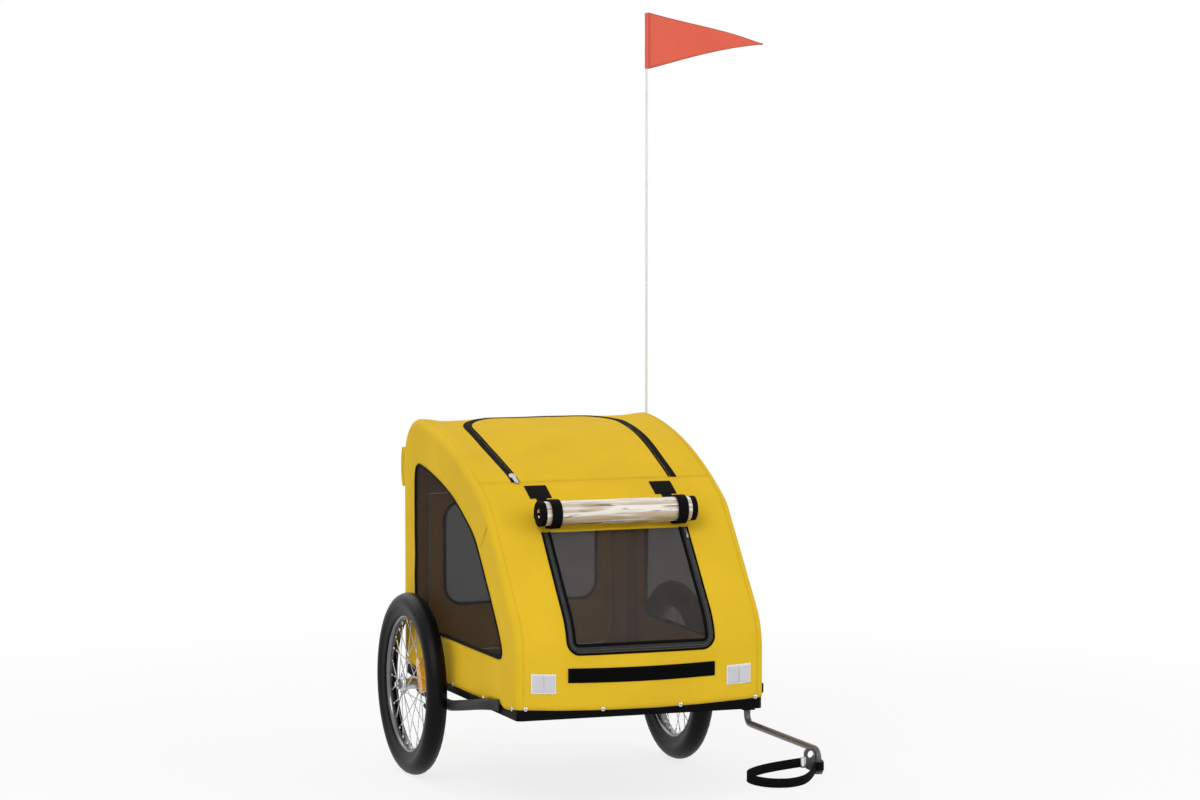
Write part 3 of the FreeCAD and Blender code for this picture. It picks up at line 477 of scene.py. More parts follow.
def white_pole(name):
    made = Finish(name, coat_weight=0.3, coat_roughness=0.2)
    streaks = made.place.scaled(600.0, 600.0, 9.0).noise(1.0, 2.0)
    return made.set(base_color=streaks.tones(colour_of("pole"), 0.88, 1.0), roughness=0.32 + streaks * 0.14)


def floor_cloth(name):
    made = Finish(name, specular_ior_level=0.2)
    clouds = made.place.noise(14.0)
    threads = weave(made.cloth, 700)
    # Grey-brown: the grey is the floor cloth's own colour, and the brown warmth is painted light for the
    # yellow light that the cabin cloth lets through.
    return made.set(base_color=clouds.mix(linear(62, 56, 50), linear(84, 76, 68)), roughness=0.8,
                    normal=(threads + made.place.noise(300.0)).bump(0.3, 0.0006))


FINISHES = {maker.__name__: maker for maker in (
    yellow_cloth, window_mesh, front_mesh, ribbed_tape, grey_tape, hook_nap, zip_teeth, black_coil,
    clear_film, rail_paint, hoop_paint, bow_paint, arm_paint, coupler_paint, black_plastic, steel,
    chrome_rim, tyre_rubber, amber_lens, silver_patch, flag_cloth, flag_hem, white_pole, floor_cloth)}


# Meshes
class Form:
    """Points, faces and flat coordinates of a piece while it is built."""

    def __init__(self):
        self.points = []
        self.flat = []
        self.faces = []

    def point(self, place, flat=(0.0, 0.0)):
        self.points.append(Vector(place))
        self.flat.append(flat)
        return len(self.points) - 1

    def grid(self, rows, closed_rows=False, closed_columns=False):
        """Quads between rows of point numbers."""
        for first, second in zip(rows, rows[1:] + rows[:1] if closed_rows else rows[1:]):
            pairs = list(zip(first, second))
            for (a, b), (d, c) in zip(pairs, pairs[1:] + pairs[:1] if closed_columns else pairs[1:]):
                self.faces.append((a, b, c, d))

    def tube(self, rows):
        """Quads round and along rows of point numbers, with both ends closed."""
        self.grid(rows, False, True)
        self.faces += [tuple(rows[0]), tuple(reversed(rows[-1]))]

    def area(self):
        """Area of all faces, each taken as a fan of triangles."""
        total = 0.0
        for face in self.faces:
            first, *others = (self.points[i] for i in face)
            total += sum(geometry.area_tri(first, a, b) for a, b in zip(others, others[1:]))
        return total

    def piece(self, name, body, slot, material, nodes=(), thickness=0.0, smooth=True):
        """The finished object, riding on its body and standing for its CAD nodes."""
        mesh = bpy.data.meshes.new(name)
        mesh.from_pydata(self.points, [], self.faces)
        layer = mesh.uv_layers.new(name="flat")
        for loop in mesh.loops:
            layer.data[loop.index].uv = self.flat[loop.vertex_index]
        mesh.materials.append(finish(material))
        mesh.validate()
        if smooth:
            mesh.shade_smooth()
        made = bpy.data.objects.new(name, mesh)
        bpy.context.scene.collection.objects.link(made)
        if thickness:
            solid = made.modifiers.new("thickness", "SOLIDIFY")
            solid.thickness = thickness
            solid.offset = -1.0
        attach(made, body)
        if nodes:
            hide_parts(*nodes)
        return made


def circle(count):
    """Angles at even steps round a full turn, without the last one."""
    return [2 * math.pi * i / count for i in range(count)]


def spaced(points, step, closed=False):
    """The points with more between them, no further apart than step."""
    found = []
    ends = points[1:] + points[:1] if closed else points[1:]
    for (a, b), (c, d) in zip(points, ends):
        count = max(1, math.ceil(math.hypot(c - a, d - b) / step))
        found += [(a + (c - a) * i / count, b + (d - b) * i / count) for i in range(count)]
    return found if closed else found + [points[-1]]


def corner(middle, radius, start, end, count=8):
    """Points of an arc from one angle to another, in degrees."""
    angles = [math.radians(start + (end - start) * i / count) for i in range(count + 1)]
    return [(middle[0] + radius * math.cos(a), middle[1] + radius * math.sin(a)) for a in angles]


def cup(half, low, high, radius):
    """Open path down the left side, round two corners, and up the right side."""
    return ([(-half, high)] + corner((-half + radius, low + radius), radius, 180, 270)
            + corner((half - radius, low + radius), radius, 270, 360) + [(half, high)])


def cap(half, low, high, radius):
    """Open path up the left side, round two corners, and down the right side."""
    return ([(-half, low)] + corner((-half + radius, high - radius), radius, 180, 90)
            + corner((half - radius, high - radius), radius, 90, 0) + [(half, low)])


def inside(a, b, loop):
    hit = False
    for (c, d), (e, f) in zip(loop, loop[1:] + loop[:1]):
        if (d > b) != (f > b) and a < c + (b - d) * (e - c) / (f - d):
            hit = not hit
    return hit


def tree_of(points):
    tree = kdtree.KDTree(len(points))
    for number, (a, b) in enumerate(points):
        tree.insert((a, b, 0.0), number)
    tree.balance()
    return tree


def cut_cloth(outer, holes, step, finer=()):
    """Flat points and triangles of a panel inside an outline and outside its holes."""
    loops = [spaced(loop, step, True) for loop in [outer] + holes]

    def on_cloth(a, b):
        return inside(a, b, loops[0]) and not any(inside(a, b, hole) for hole in loops[1:])

    points = [point for loop in loops for point in loop]
    edges = []
    for loop in loops:
        first = len(edges)
        edges += [(first + i, first + (i + 1) % len(loop)) for i in range(len(loop))]
    points += finer
    near = tree_of(points)
    low, high = [[pick(point[i] for point in points) for i in (0, 1)] for pick in (min, max)]
    counts = [max(2, round((high[i] - low[i]) / step)) for i in (0, 1)]
    for i in range(1, counts[0]):
        for j in range(1, counts[1]):
            a = low[0] + (high[0] - low[0]) * i / counts[0]
            b = low[1] + (high[1] - low[1]) * j / counts[1]
            if near.find((a, b, 0.0))[2] > step * 0.55 and on_cloth(a, b):
                points.append((a, b))
    made = geometry.delaunay_2d_cdt([Vector(point) for point in points], edges, [], 0, 1e-7)
    faces = []
    for face in made[2]:
        a, b = (sum(made[0][i][axis] for i in face) / len(face) for axis in (0, 1))
        if on_cloth(a, b):
            faces.append(tuple(face))
    return [tuple(point) for point in made[0]], faces


def panel(form, outer, holes, place, step, flip=False, finer=()):
    """Adds a cut panel to a form, laid where place puts it."""
    points, faces = cut_cloth(outer, holes, step, finer)
    numbers = [form.point(place(a, b, 0.0), (a, b)) for a, b in points]
    for face in faces:
        face = [numbers[i] for i in face]
        form.faces.append(tuple(reversed(face)) if flip else tuple(face))


def normals(path, closed):
    """Sideways directions along a flat path."""
    count = len(path)
    found = []
    for i in range(count):
        before = path[i - 1] if closed or i > 0 else path[i]
        after = path[(i + 1) % count] if closed or i < count - 1 else path[i]
        run = math.hypot(after[0] - before[0], after[1] - before[1]) or 1.0
        found.append(((after[1] - before[1]) / run, -(after[0] - before[0]) / run))
    return found


def ribbon(form, path, closed, section, place):
    """Sweeps a section of sideways and upward offsets along a flat path."""
    rows = []
    length = 0.0
    for i, ((a, b), (na, nb)) in enumerate(zip(path, normals(path, closed))):
        if i:
            length += math.hypot(a - path[i - 1][0], b - path[i - 1][1])
        rows.append([form.point(place(a + na * side, b + nb * side, up), (side, length))
                     for side, up in section])
    if closed:
        form.grid(rows, True, True)
    else:
        form.tube(rows)


def tape_section(width, low, high):
    """Flat tape with softened edges; the first side is on the left of the path."""
    half = width / 2
    soft = min(half, (high - low) * 0.8)
    return [(-half, low), (-half, low + (high - low) * 0.5), (-half + soft, high), (half - soft, high),
            (half, low + (high - low) * 0.5), (half, low)]


def stations(path, closed, pitch):
    """Places and directions at even distances along a flat path."""
    ends = path[1:] + path[:1] if closed else path[1:]
    found = []
    left = pitch / 2
    for (a, b), (c, d) in zip(path, ends):
        run = math.hypot(c - a, d - b)
        while left < run:
            share = left / run
            found.append(((a + (c - a) * share, b + (d - b) * share), ((c - a) / run, (d - b) / run)))
            left += pitch
        left -= run
    return found


def beads(form, path, closed, pitch, size, low, place):
    """Small tapered blocks along a flat path: stitches or teeth. Size is along, across and up."""
    along, across, up = (value / 2 for value in size)
    for (a, b), (da, db) in stations(path, closed, pitch):
        rings = []
        for height, share in ((low, 1.0), (low + up * 2, 0.7)):
            ring = []
            for i, j in ((-1, -1), (1, -1), (1, 1), (-1, 1)):
                p, q = i * along * share, j * across * share
                ring.append(form.point(place(a + da * p - db * q, b + db * p + da * q, height), (p, q)))
            rings.append(ring)
        form.grid(rings, False, True)
        form.faces.append(tuple(rings[1]))


def turned(form, outline, centre_x, segments, closed=False, relief=None):
    """Turns an outline of distances across and out about the axle."""
    rows = []
    for i, angle in enumerate(circle(segments)):
        row = []
        for j, (across, radius) in enumerate(outline):
            if relief:
                radius += relief(i, j)
            place = (centre_x + across, radius * math.cos(angle), AXLE_Z + radius * math.sin(angle))
            row.append(form.point(place, (angle * 0.2, j * 0.004)))
        rows.append(row)
    form.grid(rows, True, closed)


def rod(form, start, end, radius, sides=8, end_radius=None):
    """Closed round rod between two points."""
    start, end = Vector(start), Vector(end)
    turn = (end - start).to_track_quat("Z", "Y")
    rings = []
    for place, size in ((start, radius), (end, radius if end_radius is None else end_radius)):
        rings.append([form.point(place + turn @ Vector((size * math.cos(angle), size * math.sin(angle), 0.0)),
                                 (i * 0.001, 0.0)) for i, angle in enumerate(circle(sides))])
    form.grid(rings, False, True)
    form.faces += [tuple(reversed(rings[0])), tuple(rings[1])]


def band(form, steps, pitch, profile, place):
    """A strap round something: a profile of offsets across and out, carried through a full turn."""
    rows = [[form.point(place(2 * math.pi * i / steps, across, out), (across, i * pitch))
             for across, out in profile] for i in range(steps + 1)]
    form.grid(rows, False, True)


def spline_points(route):
    """Points along the smooth spline that has a route's points as its control points."""
    curve = bpy.data.curves.new("route", "CURVE")
    curve.dimensions = "3D"
    curve.resolution_u = 12
    spline = curve.splines.new("NURBS")
    spline.points.add(len(route) - 1)
    for point, place in zip(spline.points, route):
        point.co = (*place, 1.0)
    spline.order_u = 3
    spline.use_endpoint_u = True
    holder = bpy.data.objects.new("route", curve)
    line = bpy.data.meshes.new_from_object(holder)
    path = [point.co.copy() for point in line.vertices]
    bpy.data.objects.remove(holder)
    return path


def followed(path):
    """Each point of a path in space, the directions across it and up from it, and the length so far."""
    length = 0.0
    for i, place in enumerate(path):
        ahead = (path[min(i + 1, len(path) - 1)] - path[max(i - 1, 0)]).normalized()
        across = ahead.cross(Vector((0, 0, 1))).normalized()
        length += (place - path[i - 1]).length if i else 0.0
        yield place, across, across.cross(ahead), length


# The cabin's outline and where cloth lies on it
class Outline:
    """Side outline of the cabin, from the front hem over the roof to the rear hem, by length along it."""

    def __init__(self, y, z, heading):
        self.y, self.z, self.heading, self.length = y, z, heading, 0.0
        self.runs = []

    def run(self, length, turn=0.0):
        """Adds a straight run, or an arc that turns down by an angle."""
        self.runs.append((self.length, length, self.y, self.z, self.heading, turn))
        self.y, self.z, self.heading = self.along(self.runs[-1], length)
        self.length += length

    def arc(self, radius, degrees):
        self.run(radius * math.radians(degrees), math.radians(degrees))

    @staticmethod
    def along(run, distance):
        _, length, y, z, heading, turn = run
        if turn == 0.0:
            return y + distance * math.cos(heading), z + distance * math.sin(heading), heading
        radius = length / turn
        now = heading - turn * distance / length
        return (y + radius * (math.sin(heading) - math.sin(now)),
                z + radius * (math.cos(now) - math.cos(heading)), now)

    def at(self, length):
        found = self.runs[0]
        for run in self.runs:
            if length >= run[0]:
                found = run
        return self.along(found, length - found[0])

    def find(self, test, low, high):
        """The length between two at which a test of setback and height turns true."""
        for _ in range(40):
            middle = (low + high) / 2
            if test(*self.at(middle)[:2]):
                high = middle
            else:
                low = middle
        return low


outline = Outline(FRONT_Y, HEM, math.pi / 2)
outline.run(NOSE_Z - HEM)
outline.arc(NOSE_RADIUS, 90 - FRONT_HEADING)
outline.run(FRONT_RUN)
outline.arc(BROW_RADIUS, FRONT_HEADING - ROOF_HEADING)
TAIL_SINE = math.sin(math.radians(TAIL_HEADING))
ROOF_RADIUS = (REAR_Y - TAIL_RADIUS * (1 + TAIL_SINE) - outline.y) / (
    math.sin(math.radians(ROOF_HEADING)) - TAIL_SINE)
outline.arc(ROOF_RADIUS, ROOF_HEADING - TAIL_HEADING)
ROOF_END = outline.length
outline.arc(TAIL_RADIUS, 90 + TAIL_HEADING)
outline.run(outline.z - HEM)


def front_at(height):
    return outline.find(lambda y, z: z >= height, 0.0, ROOF_END)


def rear_at(height):
    return outline.find(lambda y, z: z <= height, ROOF_END, outline.length)


def roof_at(setback):
    return outline.find(lambda y, z: y >= setback, 0.0, ROOF_END + TAIL_RADIUS)


SEAM = front_at(SEAM_Z)
REAR_SEAM = rear_at(SEAM_Z)
REAR_HINGE = rear_at(DOOR_HEAD)
HATCH_END = roof_at(HATCH_SETBACK)


def smooth_step(value, low, high):
    share = min(1.0, max(0.0, (value - low) / (high - low)))
    return share * share * (3 - 2 * share)


def bell(distance, width):
    """1 at no distance, falling off either side."""
    return math.exp(-(distance / width) ** 2)


def ripples(a, b, layer, slow, fast):
    """Slow ripples with finer ones on them; each pair gives the ripples' pace along both directions."""
    return sizes().ripple * (noise.noise((a * slow[0], b * slow[1], layer[0]))
                             + 0.4 * noise.noise((a * fast[0], b * fast[1], layer[1])))


def strip_relief(u, s):
    """How far the stretched cloth of front, roof and rear lies off the plain outline: none at the hoops."""
    right = u < 0
    high = smooth_step(s, SEAM - 0.03, SEAM + 0.12)
    hollow = (0.0055 if right else 0.0025) * bell(abs(u) - 0.190, 0.050)
    hollow *= 1 - smooth_step(s, ROOF_END, ROOF_END + 0.045)
    sag = -high * (0.003 * (1 - smooth_step(s, ROOF_END + 0.045, ROOF_END + 0.120)) + hollow)
    middle = math.sin(math.pi * min(1.0, max(0.0, (s - SEAM) / (ROOF_END - SEAM)))) ** 2
    sag += (-0.010 if right else 0.005) * middle * bell(abs(u) - 0.185, 0.055)
    nose = 0.0025 * (1 - smooth_step(s, 0.12, 0.3)) * (1 - (u / SEAM_HALF) ** 2)
    ripple = ripples(u, s, (0.3, 5.1), (9, 7), (26, 18)) * smooth_step(abs(s - REAR_HINGE), 0.006, 0.060)
    hem = 0.0008 * math.sin(u * 60 + 2 * noise.noise((u * 9, 0, 0)))
    hem *= max(0.0, 1 - min(s, outline.length - s) / 0.06)
    return smooth_step(SEAM_HALF - abs(u), 0.0, HELD) * (sag + nose + ripple + hem)


def droop(u, s):
    """How much lower the front hem and the strip on it hang at the middle."""
    share = 1 - smooth_step(s, 0.075, 0.125)
    return sizes().hem_droop * share * (1 - (u / SEAM_HALF) ** 2)


def on_strip(u, s, up):
    """Place on the front, roof and rear panels."""
    y, z, heading = outline.at(s)
    out = up + strip_relief(u, s)
    return Vector((u, y - math.sin(heading) * out, z + math.cos(heading) * out - droop(u, s)))


def on_edge(side, s, angle):
    """Place on the rounded edge between the strip and a side panel."""
    y, z, heading = outline.at(s)
    out = EDGE_ROUND * (math.cos(angle) - 1)
    return Vector((side * (SEAM_HALF + EDGE_ROUND * math.sin(angle)),
                   y - math.sin(heading) * out, z + math.cos(heading) * out))


RIM_COUNT = math.ceil(outline.length / 0.0075)
rim_lengths = [outline.length * i / RIM_COUNT for i in range(RIM_COUNT + 1)]
side_rim = [tuple(on_edge(1, s, math.pi / 2)[1:]) for s in rim_lengths]
rim_tree = tree_of(side_rim)


def rim_run(u, low, high):
    """Edge of a strip panel, with the same points as the side panel that it is sewn to."""
    return [(u, low)] + [(u, s) for s in rim_lengths if low + 0.002 < s < high - 0.002] + [(u, high)]


def strip_edge(low, high):
    """Both edges of a strip panel, up one side and down the other."""
    return rim_run(SEAM_HALF, low, high) + rim_run(-SEAM_HALF, low, high)[::-1]


def hang(y, z):
    """How much lower a side hem hangs, away from its ends and from the plate that holds the bow."""
    plate = -0.4655
    share = 1 - smooth_step(z, HEM, HEM + 0.06)
    ends = smooth_step(y - FRONT_Y, 0.0, 0.064) * smooth_step(REAR_Y - y, 0.06, 0.16)
    return sizes().side_droop * share * ends * smooth_step(abs(y - plate), 0.032, 0.060)


def pleat_points():
    """Flat points close together along the pleat in the right side panel."""
    pitch, spread = 0.003, 0.0016
    start, end = PLEAT
    along = (end - start).normalized()
    count = math.ceil((end - start).length / pitch)
    return [tuple(start + along * (pitch * i) + Vector((-along.y, along.x)) * (spread * j))
            for i in range(-2, count + 3) for j in range(-5, 6)]


def pleat_depth(y, z):
    start, end = PLEAT
    along = end - start
    away = Vector((y, z)) - start
    share = min(1.0, max(0.0, away.dot(along) / along.length_squared))
    return 0.0085 * bell((away - along * share).length, 0.0027)


def on_side(side):
    """Place on a side panel by setback and height."""
    def place(y, z, up):
        free = smooth_step(rim_tree.find((y, z, 0.0))[2], 0.0, HELD)
        free *= smooth_step(z, HEM + 0.010, HEM + 0.060)
        sag = -0.0025 + ripples(y, z, (side * 3.7, side * 9.1), (9, 9), (24, 24))
        pleat = pleat_depth(y, z) if side < 0 else 0.0
        return Vector((side * (HALF_WIDTH + up + free * sag - pleat), y, z - hang(y, z)))
    return place


def side_window():
    """Outline of a side window: the cabin's outline drawn in, cut at the sill and at the rear."""
    margin, sill, rear = 0.098, 0.318, REAR_Y - 0.080
    samples, widest = 400, 22
    inner = []
    for i in range(samples):
        y, z, heading = outline.at(ROOF_END * 1.05 * i / (samples - 1))
        place = (y + math.sin(heading) * margin, z - math.cos(heading) * margin)
        if place[1] > sill and place[0] < rear and (not inner or place[0] >= inner[-1][0] - 1e-6):
            inner.append(place)
    smooth = []
    for i in range(len(inner)):
        reach = min(i, len(inner) - 1 - i, widest)
        near = inner[i - reach:i + reach + 1]
        smooth.append(tuple(sum(point[k] for point in near) / len(near) for k in (0, 1)))
    return soften_corners([(inner[0][0], sill)] + smooth + [(rear, inner[-1][1]), (rear, sill)])


def soften_corners(loop):
    """Rounds the sharp corners of a closed flat outline by averaging each point with its neighbours."""
    spacing, arm, sharp_turn, rounds, reach = 0.004, 4, 0.5, 60, 7
    loop = spaced(loop, spacing, True)
    count = len(loop)
    sharp = []
    for i in range(count):
        (a, b), (c, d), (e, f) = loop[i - arm], loop[i], loop[(i + arm) % count]
        turn = abs((math.atan2(f - d, e - c) - math.atan2(d - b, c - a) + math.pi) % (2 * math.pi) - math.pi)
        sharp.append(turn > sharp_turn)
    for _ in range(rounds):
        moved = list(loop)
        for i in range(count):
            if any(sharp[(i + k) % count] for k in range(-reach, reach + 1)):
                before, after = loop[i - 1], loop[(i + 1) % count]
                moved[i] = tuple(loop[i][k] * 0.5 + (before[k] + after[k]) * 0.25 for k in (0, 1))
        loop = moved
    return loop


SIDE_WINDOW = side_window()


def rear_window():
    """Closed outline of the rear door's window."""
    half, low, high, radius = 0.180, rear_at(0.580), rear_at(0.350), 0.040
    path = cap(half, (low + high) / 2, high, radius)
    return path + [(a, low + high - b) for a, b in reversed(path)]


def front_path(out, head=WINDOW_HEAD - FLAP_GAP, step=0.006):
    """Path round the sides and foot of the front window, so far outside its edge."""
    foot, radius = front_at(WINDOW_FOOT - out), WINDOW_CORNER + out
    return spaced(cup(WINDOW_HALF + out, foot, front_at(head), radius), step)


# Pieces of cloth, mesh and tape
def stretched(form, width, length):
    """Takes the smaller of a piece's area and the size it was cut to, and leaves the result unused."""
    min(form.area(), width * length)


def sew_panel(name, body, node, outer, holes, width, length):
    """A panel of cabin cloth on the front, roof or rear."""
    form = Form()
    panel(form, outer, holes, on_strip, sizes().cloth_grid)
    piece = form.piece(name, body, "cloth", "yellow_cloth", [node], CLOTH)
    stretched(form, width, length)


def below_cloth(place):
    """Where a mesh lies, level with the inside of the cloth that it is sewn to."""
    return lambda a, b, up: place(a, b, up - CLOTH + MESH_CLOTH)


def sew_mesh(name, body, material, node, outer, width, length):
    """A mesh window in the front or rear."""
    form = Form()
    panel(form, outer, [], below_cloth(on_strip), sizes().cloth_grid * 1.5)
    piece = form.piece(name, body, "mesh", material, [node], MESH_CLOTH)
    stretched(form, width, length)


def lay_tape(name, body, material, path, section, nodes=(), smooth=True):
    """Tape along an open path on the front, roof or rear."""
    form = Form()
    ribbon(form, path, False, section, on_strip)
    form.piece(name, body, "tape", material, nodes, smooth=smooth)


def lay_teeth(name, material, path, pitch, size):
    """Zip teeth along an open path, on top of the tapes."""
    form = Form()
    beads(form, path, False, pitch, size, sizes().tape_height, on_strip)
    form.piece(name, "chassis", "tape", material, smooth=False)


def piping_section():
    height = sizes().piping_height
    return tape_section(sizes().piping_width, -CLOTH - height, height)


def dress(nodes, material, angle=0.0):
    """Gives CAD nodes a finish, and smooths edges flatter than an angle in degrees."""
    for name in nodes:
        node = frame["nodes"][name]
        node.data.materials.clear()
        node.data.materials.append(finish(material))
        if angle:
            made = node.modifiers.new("smooth", "NODES")
            made.node_group = smoother(angle)


def smoother(angle):
    """Node group that welds a mesh and keeps only its sharp edges sharp."""
    name = "smooth below " + str(angle)
    if name in bpy.data.node_groups:
        return bpy.data.node_groups[name]
    group = bpy.data.node_groups.new(name, "GeometryNodeTree")
    for way in ("INPUT", "OUTPUT"):
        group.interface.new_socket("Geometry", in_out=way, socket_type="NodeSocketGeometry")
    nodes = [group.nodes.new(kind) for kind in (
        "NodeGroupInput", "GeometryNodeMergeByDistance", "GeometryNodeSetShadeSmooth",
        "GeometryNodeSetShadeSmooth", "NodeGroupOutput")]
    _, weld, faces, edges, _ = nodes
    weld.inputs["Distance"].default_value = 1e-6
    faces.domain = "FACE"
    edges.domain = "EDGE"
    edges.inputs["Shade Smooth"].default_value = False
    for first, second in zip(nodes, nodes[1:]):
        group.links.new(first.outputs[0], second.inputs[0])
    turn = group.nodes.new("GeometryNodeInputMeshEdgeAngle")
    compare = group.nodes.new("FunctionNodeCompare")
    compare.data_type = "FLOAT"
    compare.operation = "GREATER_THAN"
    compare.inputs["B"].default_value = math.radians(angle)
    group.links.new(turn.outputs["Unsigned Angle"], compare.inputs["A"])
    group.links.new(compare.outputs[0], edges.inputs["Selection"])
    return group


# Operators
class TrailerOperator:
    bl_options = {"REGISTER", "UNDO"}

    def execute(self, context):
        self.build()
        return {"FINISHED"}


class TRAILER_OT_frame(TrailerOperator, bpy.types.Operator):
    """Finishes of the floor frame, hoops, bows, axles and other rigid parts"""
    bl_idname = "trailer.frame"
    bl_label = "Frame"

    def build(self):
        dress(["front_rail", "rear_rail", "right_side_rail", "left_side_rail"], "rail_paint")
        dress(["floor_crossbars", "bow_brackets"], "rail_paint")
        dress(["axle_tube", "hoop_feet", "roof_crossbars"], "hoop_paint", 50)
        dress(["right_side_hoop", "left_side_hoop"], "yellow_cloth", 50)
        for side, word in SIDES:
            self.bow(side, word)
        dress(["floor_board"], "floor_cloth")
        dress(["flag_socket"], "black_plastic", 50)
        dress(["flag_pole"], "white_pole", 50)
        dress(["axles", "arm_retaining_pin"], "steel", 40)
        dress(["tow_arm"], "arm_paint", 50)
        dress(["coupler"], "coupler_paint", 40)
        dress(["strap_clip"], "steel", 30)
        dress(["right_spoke_reflector", "left_spoke_reflector"], "amber_lens")

    @staticmethod
    def bow(side, word):
        """Tube bent round inside a wheel, pressed flat where it meets the rail in front."""
        radius, pressed, raised = 0.0115, 0.0088, 0.0005
        route = [(side * x, y, z) for x, y, z in BOW_ROUTE]
        form = Form()
        rows = []
        for place, across, rise, length in followed(spline_points(route)):
            flat = 1 - smooth_step(length, 0.012, 0.085)
            wide, tall = radius - pressed * flat, radius + raised * flat
            rows.append([form.point(place + across * (wide * math.cos(angle))
                                    + rise * (tall * math.sin(angle)), (k * 0.003, length))
                         for k, angle in enumerate(circle(24))])
        form.tube(rows)
        form.piece(word + "_bow_tube", "chassis", "bow", "bow_paint", [word + "_wheel_bow"])


class TRAILER_OT_strap(TrailerOperator, bpy.types.Operator):
    """Safety strap of flat webbing on its route"""
    bl_idname = "trailer.strap"
    bl_label = "Safety strap"

    def build(self):
        path = spline_points(STRAP_ROUTE)
        width, thick = sizes().webbing_width / 2, sizes().webbing_thickness / 2
        section = ((-1.0, -0.55), (-0.94, -1.0), (0.94, -1.0), (1.0, -0.55),
                   (1.0, 0.55), (0.94, 1.0), (-0.94, 1.0), (-1.0, 0.55))
        form = Form()
        rows = []
        for place, across, rise, length in followed(path):
            rows.append([form.point(place + rise * (width * a) - across * (thick * b), (a * width, length))
                         for a, b in section])
        form.tube(rows)
        strap = form.piece("safety_strap_webbing", "coupler", "webbing", "ribbed_tape", ["safety_strap"])
        loop = Form()
        boss_x, boss_y = 0.2434, -0.9712
        band(loop, 32, 0.0023, ((0.1300, 0.0107), (0.1302, 0.0119), (0.1473, 0.0119), (0.1475, 0.0107)),
             lambda angle, z, out: (boss_x + out * math.cos(angle), boss_y + out * math.sin(angle), z))
        loop.piece("strap_end_loop", "coupler", "webbing", "ribbed_tape", smooth=False)


class TRAILER_OT_cabin(TrailerOperator, bpy.types.Operator):
    """Cloth panels of the cabin"""
    bl_idname = "trailer.cabin"
    bl_label = "Cabin cloth"

    def build(self):
        width = SEAM_HALF * 2
        hole = cup(WINDOW_HALF, front_at(WINDOW_FOOT), front_at(WINDOW_HEAD), WINDOW_CORNER)
        sew_panel("front_cloth", "chassis", "front_panel", strip_edge(0.0, SEAM), [hole], width, SEAM)
        edge = cap(HATCH_HALF, SEAM, HATCH_END, HATCH_CORNER) + strip_edge(SEAM, REAR_SEAM)
        sew_panel("roof_cloth", "chassis", "roof_panel", edge, [], width, REAR_SEAM - SEAM)
        hole = cap(DOOR_HALF, REAR_HINGE, rear_at(DOOR_FOOT), DOOR_CORNER)
        sew_panel("rear_cloth", "chassis", "rear_panel", strip_edge(REAR_SEAM, outline.length), [hole], width,
                  outline.length - REAR_SEAM)
        for side, word in SIDES:
            self.side_panel(side, word)
        flap = cap(HATCH_HALF - FLAP_GAP, SEAM + FLAP_GAP, HATCH_END - FLAP_GAP, HATCH_CORNER - FLAP_GAP)
        sew_panel("roof_hatch_cloth", "roof_hatch", "roof_flap", flap, [], HATCH_HALF * 2, HATCH_END - SEAM)
        flap = cap(DOOR_HALF - FLAP_GAP, REAR_HINGE + FLAP_GAP, rear_at(DOOR_FOOT) - FLAP_GAP,
                   DOOR_CORNER - FLAP_GAP)
        sew_panel("rear_door_cloth", "rear_door", "rear_door", flap, [rear_window()], DOOR_HALF * 2,
                  DOOR_HEAD - DOOR_FOOT)

    @staticmethod
    def side_panel(side, word):
        """A side panel with the rounded edge that joins it to the strip of front, roof and rear."""
        form = Form()
        angles = [math.pi / 2 * (j / 8) ** 1.6 for j in range(9)]
        rows = [[form.point(on_edge(side, s, angle), (s, EDGE_ROUND * angle)) for angle in angles]
                for s in rim_lengths]
        form.grid(rows if side < 0 else [row[::-1] for row in rows])
        panel(form, list(side_rim), [SIDE_WINDOW], on_side(side), sizes().cloth_grid, side < 0,
              pleat_points() if side < 0 else ())
        piece = form.piece(word + "_side_cloth", "chassis", "cloth", "yellow_cloth",
                           [word + "_side_panel"], CLOTH)
        weld = piece.modifiers.new("weld", "WELD")
        weld.merge_threshold = 0.0004
        piece.modifiers.move(1, 0)
        stretched(form, REAR_Y - FRONT_Y, 0.56)


class TRAILER_OT_windows(TrailerOperator, bpy.types.Operator):
    """Mesh windows and their bindings"""
    bl_idname = "trailer.windows"
    bl_label = "Windows"

    def build(self):
        meshes = Form()
        piping = Form()
        for side, _ in SIDES:
            place = on_side(side)
            panel(meshes, SIDE_WINDOW, [], below_cloth(place), sizes().cloth_grid * 1.5, side < 0)
            ribbon(piping, spaced(SIDE_WINDOW, 0.006, True)[::-side], True, piping_section(), place)
        piece = meshes.piece("side_window_mesh", "chassis", "mesh", "window_mesh", ["side_meshes"],
                             MESH_CLOTH)
        stretched(meshes, 0.62, 0.72)
        piping.piece("side_window_piping", "chassis", "tape", "ribbed_tape")

        half = WINDOW_HALF - FLAP_GAP
        edge = cup(half, front_at(WINDOW_FOOT + FLAP_GAP), front_at(WINDOW_HEAD - FLAP_GAP),
                   WINDOW_CORNER - FLAP_GAP)
        sew_mesh("front_window_mesh", "front_window", "front_mesh", "front_mesh", edge, half * 2, 0.30)
        lay_tape("front_window_binding", "front_window", "ribbed_tape", front_path(-0.0094),
                 tape_section(0.0058, -0.0008, 0.0024), ["front_mesh_binding"])
        lay_tape("front_flap_tape", "front_window", "grey_tape", front_path(-0.0037),
                 tape_section(0.0052, -0.0008, sizes().tape_height))

        sew_mesh("rear_window_mesh", "rear_door", "window_mesh", "rear_mesh", rear_window(), 0.36, 0.23)
        piping = Form()
        ribbon(piping, spaced(rear_window(), 0.006, True), True, piping_section(), on_strip)
        piping.piece("rear_window_piping", "rear_door", "tape", "ribbed_tape")


